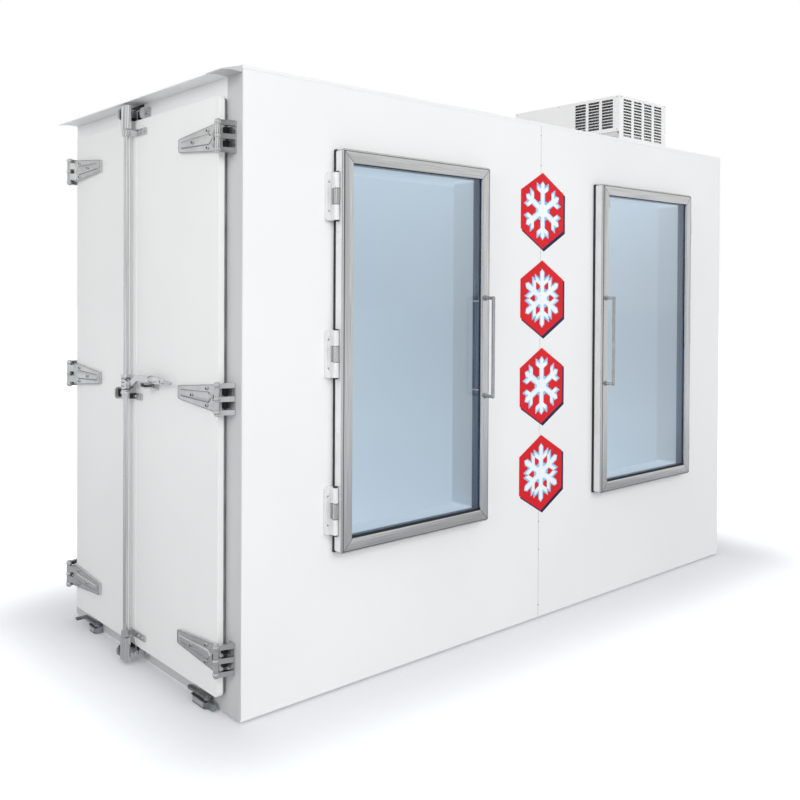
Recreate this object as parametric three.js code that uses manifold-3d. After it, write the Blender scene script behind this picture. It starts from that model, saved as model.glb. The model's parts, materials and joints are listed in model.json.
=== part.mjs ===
// Walk-in size ice merchandiser freezer: an insulated panel cabinet with two glass doors in front,
// a pair of strap-hinged loading doors with a lock rod on its left end, and a cooling unit on the roof.
// Millimetres, +Z up. The origin is the centre of the cabinet's underside on the floor.
// The front with the glass doors faces -Y and the end with the loading doors faces -X.
import * as THREE from "three";
import { mergeVertices } from "three/addons/utils/BufferGeometryUtils.js";
import Module from "manifold-3d";

const wasm = await Module();
wasm.setup();

// ---------------------------------------------------------------- sizes

const FIT = 0.3; // clearance between pieces that touch

// Sides of round pieces: a pin has fewer than the bore it turns in, which is why both are named.
const ROUND = 12;
const PIN_SIDES = 10;
const BORE_SIDES = 12;
const HOLE_SIDES = 8;

const cabinet = {
  width: 2972,
  depth: 1330,
  height: 2134,
  wall: 114,
  floor: 96,
  roof: 120,
  ledge: 8, // base ledge under the walls
  ledgeInset: 12,
  skin: 2.5, // roof skin over the walls
  seam: 1.6, // joint between the two front panels
};

const doorFrame = { plate: 3, lining: 11.4 };
const dripCap = { reach: 80, drop: 26, lip: 4, root: 22 };

const leaf = {
  lap: 40, // how far a leaf reaches past the opening
  split: 737.5, // meeting line, from the front face
  meetingGap: 5,
  skin: 22,
  cornerRadius: 14,
  gasket: 13, // space behind the skin that the gasket fills
  gasketWidth: 24,
  plugInset: 45,
  plugDepth: 65,
  plugDraft: 12,
  meetingInset: 28,
  stripWidth: 46,
  stripInset: 6,
  stripHeight: 1.5,
};

const strap = {
  length: 283, // from the pin to the tip
  rootHalf: 45,
  tipHalf: 24,
  thick: 11,
  rootStart: 18,
  shoulder: 20, // along the edge, from the knuckles to full width
  webEnd: 34, // where the webs that climb to the knuckles meet the strap's face
  ribHalf: 17, // raised panel at its root, narrower to the tip
  ribHeight: 3.2,
  ribStart: 52,
  ribEnd: 20, // left free at the tip
  pinOut: 30, // pin beyond the leaf's edge
  pinProud: 56,
  pinRadius: 5,
  bore: 5.3,
  eyeRadius: 10,
  lugHeight: 17,
  windowHeight: 27,
  knuckleGap: 0.5,
  armHalf: 7,
  armLean: 18, // degrees from the wall's normal
  baseThick: 5,
  basePast: 24, // base plate beyond the arm's foot, towards the leaf
  spacing: 850, // between hinge centres
  headRadius: 7.5,
  headHeight: 3,
};

const rod = {
  along: 706, // from the front face
  proud: 66,
  radius: 9.5,
  bore: 9.9,
  camLobe: 13,
  camSpread: 15.5,
  camWeb: 6.5, // half thickness between the lobes
  camHeight: 88,
  camEnd: 38, // from the roof's top skin, and above the floor by camFoot
  camFoot: 14,
  camFootHeight: 88,
  tongueReach: 34,
  tongueHalf: 8,
  tongueHeight: 26,
  tongueEnd: 12,
};

const guide = {
  height: 24,
  eye: 16,
  arm: 108,
  plate: 6,
  boltRadius: 4.5,
  boltPitch: 34,
  boltEdge: 14,
  gapToCam: 1.5,
};

const keeper = {
  halfSpacing: 38,
  ear: 8,
  height: 44,
  reach: 82, // rear ear
  hookReach: 34, // front ear, low beside the cam
  flange: 24,
  plate: 5,
  nose: 16,
  boltRadius: 4.5,
  offset: 6, // clear of the leaf's edge
};

const middleKeeper = { start: 51, ear: 8, low: 995, high: 1039, reach: 85, nose: 12, foot: 48, plate: 5 };
const hub = { height: 64, centre: 1055, radius: 17, cheek: 6.5, pivotReach: 34, pivotRadius: 5, cheekEnd: 12 };
const handle = {
  thick: 12,
  boss: 15,
  bore: 5.3,
  neckHalf: 8,
  gripHalf: 12,
  gripRise: 30,
  gripStart: 62, // from the pivot
  gripEnd: 261,
  tipRadius: 6,
  tipLength: 55,
  hole: 6,
};
const handleCatch = { along: 532, width: 70, plate: 6, plateDrop: 27, plateRise: 22, shelf: 26, shelfThick: 6, reach: 84 };

const latch = {
  frontStart: 162,
  frontLength: 99,
  rearStart: 1055,
  rearLength: 66,
  bottom: 2,
  top: 29,
  proud: 34,
  chamfer: 10,
  pivotInset: 14,
  pivotProud: 18,
  pinRadius: 5,
  bore: 5.3,
  boss: 13,
  barHalf: 9,
  leverThick: 9,
  frontReach: 129,
  rearReach: 131,
  rearHook: 40,
  prong: 22,
  tongue: 34,
  tongueHalf: 17,
  tongueThick: 12,
};

const glassDoor = {
  width: 745,
  height: 1405,
  centre: 743, // from the middle of the cabinet
  bottom: 495,
  face: 54, // frame face in front of the panel
  back: 13,
  frameWidth: 48,
  bevel: 7,
  innerBevel: 3,
  lip: 11,
  rebate: 12,
  rebateDepth: 22.3,
  cornerRadius: 10,
  openingInset: 46,
  openingRadius: 12,
  gasketInset: 6,
  gasketWidth: 34,
  fittingDrop: 8, // hinges and pull are centred below the leaf's middle
};

const glassHinge = {
  pinOut: 12, // pin from the leaf's edge
  pinProud: 33,
  barrel: 10,
  pin: 4,
  bore: 4.3,
  height: 168,
  knuckle: 55,
  gap: 0.5,
  plateWidth: 36,
  plateThick: 14,
  recess: 2.5, // panel sunk in the plate's outer strip
  recessWidth: 10,
  recessHalf: 60,
  plateToLeaf: 2.5,
  plateRadius: 8,
  spacing: 545,
  armHalf: 7,
};

const pull = { radius: 7, length: 404, standoff: 42, post: 6, postEnd: 8, foot: 12, footThick: 4, inset: 28 };

const unit = {
  fromEnd: 515, // left side, from the cabinet's right end
  width: 435,
  front: -380,
  depth: 715,
  height: 308,
  sheet: 2.5,
  trayInset: 9,
  trayHeight: 108,
  trayWall: 3,
  skirtGap: 120, // side skirts stop above the roof
  slotTop: 16,
};
const sideLouvre = { columns: 3, rows: 10, start: 40, width: 70, pitch: 87.5, slot: 9.4, rowPitch: 15.5 };
const frontLouvre = { columns: 4, rows: 13, start: 38, width: 72, pitch: 94.5, slot: 8.2, rowPitch: 15.5 };

const cooling = {
  coilGap: 16,
  coilThick: 44,
  coilWidth: 250,
  coilStart: 34,
  coilHeight: 250,
  coilGrooves: 12,
  shroudGap: 8,
  shroudThick: 4,
  fanRadius: 96,
  fanClear: 6,
  fanGap: 6,
  hub: 22,
  bladeWidth: 26,
  bladeThick: 2.5,
  bladePitch: 32,
  blades: 5,
  motorRadius: 36,
  motorLength: 70,
  motorGap: 3,
  shaft: 5,
  shaftBore: 5.3,
  compressorRadius: 82,
  compressorHeight: 200,
  compressorAlong: 520,
};

const evaporator = {
  width: 366,
  depth: 350,
  height: 116,
  sheet: 3,
  fanRadius: 46,
  fanClear: 5,
  backFromUnit: 30,
  hub: 14,
  blades: 5,
  bladeWidth: 16,
  bladeThick: 2.5,
  bladePitch: 30,
  motorRadius: 20,
};

// ---------------------------------------------------------------- places worked out from them

const frontY = -cabinet.depth / 2;
const leftX = -cabinet.width / 2;
const wallTop = cabinet.height - cabinet.skin - FIT;
const wallBottom = cabinet.ledge + FIT;
const openingEdge = cabinet.wall + FIT + doorFrame.lining; // end opening, from the front or rear face
const openingBottom = cabinet.floor + FIT + doorFrame.lining;
const openingTop = cabinet.height - cabinet.roof - FIT - doorFrame.lining;
const leafBottom = openingBottom - leaf.lap;
const leafTop = openingTop + leaf.lap;
const leafFace = leaf.gasket + leaf.skin;
const leafMiddle = (leafBottom + leafTop) / 2;
const leafStart = openingEdge - leaf.lap;
const leafEnd = cabinet.depth - leafStart;
const frontPin = leafStart - strap.pinOut;
const rearPin = leafEnd + strap.pinOut;
const frontLeafEnd = leaf.split - leaf.meetingGap / 2;
const rearLeafStart = leaf.split + leaf.meetingGap / 2;
const stripEnd = frontLeafEnd - leaf.stripInset;
const stripStart = stripEnd - leaf.stripWidth;
const hingeHeights = [leafMiddle - strap.spacing, leafMiddle, leafMiddle + strap.spacing];
const camTop = cabinet.height - rod.camEnd;
const camTopStart = camTop - rod.camHeight;
const camFootTop = rod.camFoot + rod.camFootHeight;
const shutGlass = glassDoor.bottom + glassDoor.height / 2 - glassDoor.fittingDrop;
const glassHingeHeights = [-1, 0, 1].map((k) => shutGlass + k * glassHinge.spacing);

// ---------------------------------------------------------------- materials

const finish = (color, roughness, metalness = 0) => new THREE.MeshStandardMaterial({ color, roughness, metalness });
const whitePaint = finish(0xeef0f1, 0.45);
const doorSkin = finish(0xdcdddd, 0.42);
const frameSteel = finish(0xc4c6c7, 0.4, 0.5);
const zinc = finish(0x9c9d9c, 0.35, 0.9);
const polished = finish(0xc9cbcc, 0.22, 0.95);
const satinFrame = finish(0xb4b6b8, 0.4, 0.8);
const blackRubber = finish(0x17181a, 0.75);
const castDark = finish(0x4d4f52, 0.5, 0.7);
const clearGlass = new THREE.MeshStandardMaterial({
  color: 0xc5d6df,
  roughness: 0.05,
  transparent: true,
  opacity: 0.4,
});
const copper = finish(0x8b8f92, 0.5, 0.6);
const blackSteel = finish(0x222426, 0.55, 0.3);

// ---------------------------------------------------------------- geometry helpers

// A manifold-3d solid of a closed three.js geometry, turned face out if it is inside out.
function solid(geometry) {
  const bare = geometry.clone();
  bare.deleteAttribute("normal");
  bare.deleteAttribute("uv");
  const merged = mergeVertices(bare.index ? bare.toNonIndexed() : bare, 1e-4);
  const vertProperties = new Float32Array(merged.attributes.position.array);
  const build = (triVerts) => new wasm.Manifold(new wasm.Mesh({ numProp: 3, vertProperties, triVerts }));
  const triVerts = new Uint32Array(merged.index.array);
  const made = build(triVerts);
  return made.volume() < 0 ? build(triVerts.reverse()) : made;
}

function geometryOf(made) {
  const mesh = made.getMesh();
  const geometry = new THREE.BufferGeometry();
  geometry.setAttribute("position", new THREE.BufferAttribute(new Float32Array(mesh.vertProperties), 3));
  geometry.setIndex(new THREE.BufferAttribute(new Uint32Array(mesh.triVerts), 1));
  geometry.computeVertexNormals();
  return geometry;
}

const asSolid = (shape) => (shape.isBufferGeometry ? solid(shape) : shape);
const join = (...shapes) => shapes.map(asSolid).reduce((sum, next) => sum.add(next));
const cut = (base, ...tools) => tools.map(asSolid).reduce((left, tool) => left.subtract(tool), asSolid(base));

// A box between two corners.
function box([x0, y0, z0], [x1, y1, z1]) {
  const size = [Math.abs(x1 - x0), Math.abs(y1 - y0), Math.abs(z1 - z0)];
  return new THREE.BoxGeometry(...size).translate((x0 + x1) / 2, (y0 + y1) / 2, (z0 + z1) / 2);
}

// A cylinder along the axis "x", "y" or "z", from one end to the other.
function rodAlong(axis, radius, from, to, [a, b], segments = ROUND) {
  const geometry = new THREE.CylinderGeometry(radius, radius, to - from, segments);
  const middle = (from + to) / 2;
  if (axis === "z") return geometry.rotateX(Math.PI / 2).translate(a, b, middle);
  if (axis === "x") return geometry.rotateZ(Math.PI / 2).translate(middle, a, b);
  return geometry.translate(a, middle, b);
}

// Outlines drawn in two axes and extruded along the third.
const planes = {
  xy: new THREE.Matrix4(),
  xz: new THREE.Matrix4().makeBasis(
    new THREE.Vector3(1, 0, 0), new THREE.Vector3(0, 0, 1), new THREE.Vector3(0, -1, 0)),
  yz: new THREE.Matrix4().makeBasis(
    new THREE.Vector3(0, 1, 0), new THREE.Vector3(0, 0, 1), new THREE.Vector3(1, 0, 0)),
};

function extruded(shape, plane, from, to, curveSegments = 6) {
  const geometry = new THREE.ExtrudeGeometry(shape, { depth: to - from, bevelEnabled: false, curveSegments });
  geometry.applyMatrix4(planes[plane]);
  if (plane === "xy") return geometry.translate(0, 0, from);
  return plane === "yz" ? geometry.translate(from, 0, 0) : geometry.translate(0, to, 0);
}

const polygon = (points) => new THREE.Shape(points.map(([a, b]) => new THREE.Vector2(a, b)));

// A rectangle with round corners; with hole = true it is a Path for Shape.holes.
function roundedRectangle([a0, b0], [a1, b1], radius, hole = false) {
  const path = hole ? new THREE.Path() : new THREE.Shape();
  const quarter = Math.PI / 2;
  path.moveTo(a0 + radius, b0);
  path.lineTo(a1 - radius, b0);
  path.absarc(a1 - radius, b0 + radius, radius, -quarter, 0, false);
  path.lineTo(a1, b1 - radius);
  path.absarc(a1 - radius, b1 - radius, radius, 0, quarter, false);
  path.lineTo(a0 + radius, b1);
  path.absarc(a0 + radius, b1 - radius, radius, quarter, 2 * quarter, false);
  path.lineTo(a0, b0 + radius);
  path.absarc(a0 + radius, b0 + radius, radius, 2 * quarter, 3 * quarter, false);
  path.closePath();
  return path;
}

// A closed section swept round an upright rectangle that stands in the x-z plane.
// The section's points are [inset from the rectangle's edge, distance in front along +y].
function frameSweep([x0, z0], [x1, z1], radius, section, cornerSteps = 2) {
  const sharp = 0.6; // least corner radius, so that every ring keeps its points
  const rings = section.map(([inset, front]) => {
    const r = Math.max(radius - inset, sharp);
    const corners = [
      [x1 - inset - r, z0 + inset + r, -Math.PI / 2],
      [x1 - inset - r, z1 - inset - r, 0],
      [x0 + inset + r, z1 - inset - r, Math.PI / 2],
      [x0 + inset + r, z0 + inset + r, Math.PI],
    ];
    return corners.flatMap(([cx, cz, start]) =>
      Array.from({ length: cornerSteps + 1 }, (_, k) => {
        const angle = start + (k / cornerSteps) * (Math.PI / 2);
        return [cx + r * Math.cos(angle), front, cz + r * Math.sin(angle)];
      }),
    );
  });
  const count = rings[0].length;
  const index = [];
  rings.forEach((_, i) => {
    const next = (i + 1) % rings.length;
    for (let k = 0; k < count; k++) {
      const along = (k + 1) % count;
      const [a, b, c, d] = [i * count + k, i * count + along, next * count + along, next * count + k];
      index.push(a, b, c, a, c, d);
    }
  });
  const geometry = new THREE.BufferGeometry();
  geometry.setAttribute("position", new THREE.Float32BufferAttribute(rings.flat(2), 3));
  geometry.setIndex(index);
  return geometry;
}

// A blade wheel about the x axis: a hub and blades set at a pitch.
function fanWheel({ hub: hubRadius, radius, blades, bladeWidth, bladeThick, bladePitch, bore, x0, x1 }) {
  const middle = (x0 + x1) / 2;
  const blade = (k) =>
    extruded(
      polygon([
        [-bladeWidth * 0.32, hubRadius * 0.7],
        [bladeWidth * 0.32, hubRadius * 0.7],
        [bladeWidth * 0.62, radius * 0.9],
        [bladeWidth * 0.3, radius],
        [-bladeWidth * 0.45, radius * 0.97],
      ]),
      "yz",
      -bladeThick / 2,
      bladeThick / 2,
    )
      .rotateZ(THREE.MathUtils.degToRad(bladePitch))
      .rotateX((k * 2 * Math.PI) / blades)
      .translate(middle, 0, 0);
  const wheel = join(rodAlong("x", hubRadius, x0, x1, [0, 0]), ...Array.from({ length: blades }, (_, k) => blade(k)));
  return cut(wheel, rodAlong("x", bore, x0 - 1, x1 + 1, [0, 0], BORE_SIDES));
}

// ---------------------------------------------------------------- scene graph helpers

const freezer = new THREE.Group();

// On the front face: x to the left, y out of the face, z up.
const frontFace = new THREE.Group();
frontFace.rotation.z = Math.PI;
frontFace.position.set(0, frontY, 0);

// On the left end face: x from the front towards the rear, y out of the face, z up.
const endFace = new THREE.Group();
endFace.rotation.z = Math.PI / 2;
endFace.position.set(leftX, frontY, 0);
freezer.add(frontFace, endFace);

function add(parent, name, shape, material) {
  const geometry = shape.isBufferGeometry ? geometryOf(solid(shape)) : geometryOf(shape);
  const mesh = new THREE.Mesh(geometry, material);
  mesh.name = name;
  parent.add(mesh);
  return mesh;
}

function groupAt(parent, x, y, z) {
  const group = new THREE.Group();
  group.position.set(x, y, z);
  parent.add(group);
  return group;
}

// ---------------------------------------------------------------- cabinet

function floorPanel() {
  const inner = cabinet.wall + FIT;
  const slabLeft = leftX + doorFrame.plate + FIT;
  const slab = box([slabLeft, frontY + inner, 0], [-leftX - inner, -frontY - inner, cabinet.floor]);
  const inset = cabinet.ledgeInset;
  const ledge = box([leftX + inset, frontY + inset, 0], [-leftX - inset, -frontY - inset, cabinet.ledge]);
  return join(slab, ledge);
}

function roofPanel() {
  const inner = cabinet.wall + FIT;
  const under = cabinet.height - cabinet.roof;
  const slab = box([leftX + doorFrame.plate + FIT, frontY + inner, under], [-leftX - inner, -frontY - inner, cabinet.height]);
  const skin = box([leftX, frontY, cabinet.height - cabinet.skin], [-leftX, -frontY, cabinet.height]);
  return join(slab, skin);
}

// A front panel from x0 to x1 with the opening of the glass door whose middle is at doorX.
function frontPanel(x0, x1, doorX) {
  const outline = polygon([[x0, wallBottom], [x1, wallBottom], [x1, wallTop], [x0, wallTop]]);
  const halfOpening = glassDoor.width / 2 - glassDoor.openingInset;
  const low = [doorX - halfOpening, glassDoor.bottom + glassDoor.openingInset];
  const high = [doorX + halfOpening, glassDoor.bottom + glassDoor.height - glassDoor.openingInset];
  outline.holes.push(roundedRectangle(low, high, glassDoor.openingRadius, true));
  return extruded(outline, "xz", frontY, frontY + cabinet.wall, 3);
}

function rearPanel() {
  return box([leftX + doorFrame.plate + FIT, -frontY - cabinet.wall, wallBottom], [-leftX, -frontY, wallTop]);
}

function rightEndPanel() {
  const inner = cabinet.wall + FIT;
  return box([-leftX - cabinet.wall, frontY + inner, wallBottom], [-leftX, -frontY - inner, wallTop]);
}

// Face plate over the end of the panels, and a lining that runs back between them.
function endDoorFrame() {
  const plate = polygon([[0, wallBottom], [cabinet.depth, wallBottom], [cabinet.depth, wallTop], [0, wallTop]]);
  const low = [openingEdge, openingBottom];
  const high = [cabinet.depth - openingEdge, openingTop];
  plate.holes.push(roundedRectangle(low, high, 1, true));
  const inner = cabinet.wall + FIT;
  const lining = roundedRectangle(
    [inner, cabinet.floor + FIT], [cabinet.depth - inner, cabinet.height - cabinet.roof - FIT], 1);
  lining.holes.push(roundedRectangle(low, high, 1, true));
  return join(
    extruded(plate, "xz", -doorFrame.plate, 0, 1),
    extruded(lining, "xz", -cabinet.wall, -doorFrame.plate, 1),
  );
}

// Folded cap over the loading doors: it falls from the roof's edge to a turned lip.
function dripCapSection() {
  const top = wallTop;
  const lipBottom = cabinet.height - dripCap.drop - dripCap.lip;
  const { reach, lip } = dripCap;
  return polygon([
    [FIT, top - dripCap.root],
    [FIT, top],
    [reach - lip, cabinet.height - dripCap.drop + lip / 2],
    [reach, cabinet.height - dripCap.drop],
    [reach, lipBottom],
    [reach - lip, lipBottom],
    [reach - lip - 2, lipBottom + 3],
    [reach / 2, top - dripCap.root + 2],
  ]);
}

function addCabinet() {
  const half = cabinet.seam / 2;
  add(freezer, "floor_panel", floorPanel(), whitePaint);
  add(freezer, "roof_panel", roofPanel(), whitePaint);
  add(freezer, "front_panel_left", frontPanel(leftX + doorFrame.plate + FIT, -half, -glassDoor.centre), whitePaint);
  add(freezer, "front_panel_right", frontPanel(half, -leftX, glassDoor.centre), whitePaint);
  add(freezer, "rear_panel", rearPanel(), whitePaint);
  add(freezer, "right_end_panel", rightEndPanel(), whitePaint);
  add(endFace, "end_door_frame", endDoorFrame(), frameSteel);
  add(endFace, "drip_cap", extruded(dripCapSection(), "yz", 0, cabinet.depth), whitePaint);
}

// ---------------------------------------------------------------- loading doors

// Skin, draughted plug behind it and, on the leaf that carries the rod, a raised strip at its free edge.
// The plug's inset is given at the leaf's low-x and high-x side.
function loadingLeaf(x0, x1, insetLow, insetHigh, withStrip) {
  const skin = extruded(
    roundedRectangle([x0, leafBottom], [x1, leafTop], leaf.cornerRadius), "xz", leaf.gasket, leafFace, 5);
  const shrink = leaf.plugDraft;
  const plugFront = [
    [x0 + insetLow, leafBottom + leaf.plugInset], [x1 - insetHigh, leafBottom + leaf.plugInset],
    [x1 - insetHigh, leafTop - leaf.plugInset], [x0 + insetLow, leafTop - leaf.plugInset],
  ];
  const inwards = [[1, 1], [-1, 1], [-1, -1], [1, -1]];
  const corners = plugFront.flatMap(([x, z], k) => {
    const [dx, dz] = inwards[k];
    return [[x, leaf.gasket + 1, z], [x + dx * shrink, leaf.gasket - leaf.plugDepth, z + dz * shrink]];
  });
  const plug = hullOfEight(corners);
  const shapes = [skin, plug];
  if (withStrip) {
    const margin = leaf.cornerRadius;
    shapes.push(box([stripStart, leafFace - 1, leafBottom + margin], [stripEnd, leafFace + leaf.stripHeight, leafTop - margin]));
  }
  return join(...shapes);
}

// Six-sided solid of four edges, each given by its two ends, in order round the solid.
function hullOfEight(points) {
  const geometry = new THREE.BufferGeometry();
  geometry.setAttribute("position", new THREE.Float32BufferAttribute(points.flat(), 3));
  const index = [0, 4, 2, 0, 6, 4, 1, 3, 5, 1, 5, 7];
  for (let k = 0; k < 4; k++) {
    const [a, b] = [2 * k, (2 * k + 2) % 8];
    index.push(a, b, b + 1, a, b + 1, a + 1);
  }
  geometry.setIndex(index);
  return geometry;
}

// Bulb gasket between the leaf's skin and the door frame.
function leafGasket(x0, x1) {
  const [front, wide] = [leaf.gasket - FIT, leaf.gasketWidth];
  const section = [[2, front], [2, front * 0.55], [7, FIT], [wide - 7, FIT], [wide - 3, front * 0.5], [wide - 3, front]];
  return frameSweep([x0, leafBottom], [x1, leafTop], leaf.cornerRadius, section);
}

// Strap hinge, with the pin's axis at the origin; the leaf lies towards side * x.
const lugLevels = () => {
  const pitch = strap.lugHeight + strap.windowHeight;
  return [-pitch, 0, pitch];
};
const pinToLeaf = () => leafFace - strap.pinProud; // the leaf's face, seen from the pin

function strapBracket(side) {
  const lean = THREE.MathUtils.degToRad(strap.armLean);
  const [along, across] = [Math.sin(lean), Math.cos(lean)];
  const reach = Math.sqrt(strap.eyeRadius ** 2 - strap.armHalf ** 2);
  const foot = -(strap.pinProud - FIT - strap.baseThick / 2);
  const edge = (sign) => {
    const x = -along * reach + sign * across * strap.armHalf;
    const y = -across * reach - sign * along * strap.armHalf;
    return [[x, y], [x - ((y - foot) * along) / across, foot]];
  };
  const [[innerTop, innerFoot], [outerTop, outerFoot]] = [edge(1), edge(-1)];
  const arm = new THREE.Shape();
  arm.moveTo(...outerFoot);
  arm.lineTo(...outerTop);
  arm.absarc(0, 0, strap.eyeRadius, Math.atan2(outerTop[1], outerTop[0]), Math.atan2(innerTop[1], innerTop[0]), true);
  arm.lineTo(...innerFoot);
  arm.closePath();
  const half = strap.lugHeight / 2;
  const arms = lugLevels().map((z) => extruded(arm, "xy", z - half, z + half, 6));
  const top = lugLevels()[2] + half;
  const base = box(
    [outerFoot[0], -strap.pinProud + FIT, -top], [innerFoot[0] + strap.basePast, foot + strap.baseThick / 2, top]);
  const pin = rodAlong("z", strap.pinRadius, -top, top, [0, 0], PIN_SIDES);
  const heads = [[-top - strap.headHeight, -top + 1], [top - 1, top + strap.headHeight]].map(([z0, z1]) =>
    rodAlong("z", strap.headRadius, z0, z1, [0, 0], PIN_SIDES));
  return mirroredX(join(base, ...arms, pin, ...heads), side);
}

// Raised panel along the strap's middle, with sloping sides, narrower to the tip.
function strapRib(front) {
  const slope = strap.ribHeight;
  const [start, end] = [strap.ribStart, strap.length - strap.ribEnd];
  const narrow = strap.ribHalf * 0.6;
  const outline = polygon([[start, 0], [start + strap.ribHalf, -strap.ribHalf], [end, -narrow], [end, narrow],
    [start + strap.ribHalf, strap.ribHalf]]);
  const geometry = new THREE.ExtrudeGeometry(outline, {
    depth: 1, bevelEnabled: true, bevelThickness: slope, bevelSize: slope, bevelOffset: -slope, bevelSegments: 1,
  });
  return geometry.applyMatrix4(planes.xz).translate(0, front + 1, 0);
}

function strapLeaf(side) {
  const back = pinToLeaf() + FIT;
  const front = back + strap.thick;
  const knuckleLow = strap.lugHeight / 2 + strap.knuckleGap;
  const knuckleHigh = knuckleLow + strap.windowHeight - 2 * strap.knuckleGap;
  const outline = new THREE.Shape();
  const tipRound = strap.tipHalf * 0.3;
  outline.moveTo(strap.rootStart, -knuckleHigh);
  outline.quadraticCurveTo(strap.rootStart + 4, -strap.rootHalf, strap.rootStart + strap.shoulder, -strap.rootHalf);
  outline.lineTo(strap.length - tipRound, -strap.tipHalf);
  outline.quadraticCurveTo(strap.length, -strap.tipHalf, strap.length, -strap.tipHalf + tipRound);
  outline.lineTo(strap.length, strap.tipHalf - tipRound);
  outline.quadraticCurveTo(strap.length, strap.tipHalf, strap.length - tipRound, strap.tipHalf);
  outline.lineTo(strap.rootStart + strap.shoulder, strap.rootHalf);
  outline.quadraticCurveTo(strap.rootStart + 4, strap.rootHalf, strap.rootStart, knuckleHigh);
  outline.closePath();
  const climb = strap.eyeRadius - 0.2;
  const web = polygon([[0, -climb], [strap.webEnd, back], [strap.webEnd, front], [0, climb]]);
  const shapes = [extruded(outline, "xz", back, front, 3), strapRib(front)];
  const bores = [];
  for (const s of [-1, 1]) {
    const [z0, z1] = s > 0 ? [knuckleLow, knuckleHigh] : [-knuckleHigh, -knuckleLow];
    shapes.push(rodAlong("z", strap.eyeRadius, z0, z1, [0, 0]));
    shapes.push(extruded(web, "xy", z0, z1));
    bores.push(rodAlong("z", strap.bore, z0 - 1, z1 + 1, [0, 0], BORE_SIDES));
  }
  return mirroredX(cut(join(...shapes), ...bores), side);
}

const mirroredX = (made, side) => (side > 0 ? made : made.mirror([1, 0, 0]));

function addLoadingDoor(name, x0, x1, side) {
  const hinged = side > 0 ? frontPin : rearPin;
  const door = groupAt(endFace, hinged, strap.pinProud, 0);
  const shift = (shape) => asSolid(shape).translate([-hinged, -strap.pinProud, 0]);
  const insets = side > 0 ? [leaf.plugInset, leaf.meetingInset] : [leaf.meetingInset, leaf.plugInset];
  add(door, `end_door_${name}`, shift(loadingLeaf(x0, x1, ...insets, side > 0)), doorSkin);
  add(door, `end_door_${name}_gasket`, shift(leafGasket(x0, x1)), blackRubber);
  ["low", "mid", "high"].forEach((level, k) => {
    const strapGroup = groupAt(door, 0, 0, hingeHeights[k]);
    add(strapGroup, `strap_${name}_${level}`, strapLeaf(side), zinc);
    const bracketGroup = groupAt(endFace, hinged, strap.pinProud, hingeHeights[k]);
    add(bracketGroup, `strap_bracket_${name}_${level}`, strapBracket(side), zinc);
  });
  return door;
}

// ---------------------------------------------------------------- lock rod

// Rod with a two-lobed cam casting at each end and the clamp that holds the handle.
function lockRod() {
  const cam = (z0, z1, tongue0, tongue1) => [
    rodAlong("z", rod.camLobe, z0, z1, [-rod.camSpread, 0]),
    rodAlong("z", rod.camLobe, z0, z1, [rod.camSpread, 0]),
    box([-rod.camSpread, -rod.camWeb, z0], [rod.camSpread, rod.camWeb, z1]),
    box([-rod.tongueHalf, -rod.tongueReach, tongue0], [rod.tongueHalf, 0, tongue1]),
  ];
  const [hub0, hub1] = [hub.centre - hub.height / 2, hub.centre + hub.height / 2];
  const cheekInner = handle.thick / 2 + FIT;
  const cheeks = [-1, 1].map((s) => {
    const [y0, y1] = s > 0 ? [cheekInner, cheekInner + hub.cheek] : [-cheekInner - hub.cheek, -cheekInner];
    const outline = new THREE.Shape();
    outline.moveTo(0, hub0 + 8);
    outline.lineTo(0, hub1 - 8);
    outline.lineTo(-hub.pivotReach, hub.centre + hub.cheekEnd);
    outline.absarc(-hub.pivotReach, hub.centre, hub.cheekEnd, Math.PI / 2, 1.5 * Math.PI, false);
    outline.closePath();
    return extruded(outline, "xz", y0, y1, 6);
  });
  const pivotEnd = cheekInner + hub.cheek / 2;
  const pivot = rodAlong("y", hub.pivotRadius, -pivotEnd, pivotEnd, [-hub.pivotReach, hub.centre], PIN_SIDES);
  const collar = cut(
    rodAlong("z", hub.radius, hub0, hub1, [0, 0]),
    box([-hub.radius - 1, -cheekInner, hub0 + 6], [-rod.radius - 1, cheekInner, hub1 - 6]),
  );
  return join(
    rodAlong("z", rod.radius, rod.camFoot + 4, camTop - 4, [0, 0], BORE_SIDES),
    ...cam(camTopStart, camTop, camTop - rod.tongueEnd - rod.tongueHeight, camTop - rod.tongueEnd),
    ...cam(rod.camFoot, camFootTop, rod.camFoot + rod.tongueEnd, rod.camFoot + rod.tongueEnd + rod.tongueHeight),
    collar,
    ...cheeks,
    pivot,
  );
}

// Bracket on the leaf that the rod turns in; its bolted arm points to the hinge side.
function rodGuide(z0, z1, armLength, tail) {
  const back = leafFace + FIT - rod.proud;
  const top = back + guide.plate;
  const web = guide.eye * 0.75;
  const middle = (z0 + z1) / 2;
  const body = join(
    extruded(roundedRectangle([-armLength, z0], [tail, z1], 5), "xz", back, top, 3),
    box([-web, top - 1, z0], [web, 0, z1]),
    rodAlong("z", guide.eye, z0, z1, [0, 0]),
  );
  const strip = box(
    [stripStart - FIT - rod.along, back - 1, z0 - 1],
    [stripEnd + FIT - rod.along, leafFace + leaf.stripHeight + FIT - rod.proud, z1 + 1]);
  const bolts = [0, 1].map((k) =>
    rodAlong("y", guide.boltRadius, back - 1, top + 1, [-armLength + guide.boltEdge + k * guide.boltPitch, middle], HOLE_SIDES));
  return cut(body, rodAlong("z", rod.bore, z0 - 1, z1 + 1, [0, 0], 16), strip, ...bolts);
}

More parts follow.
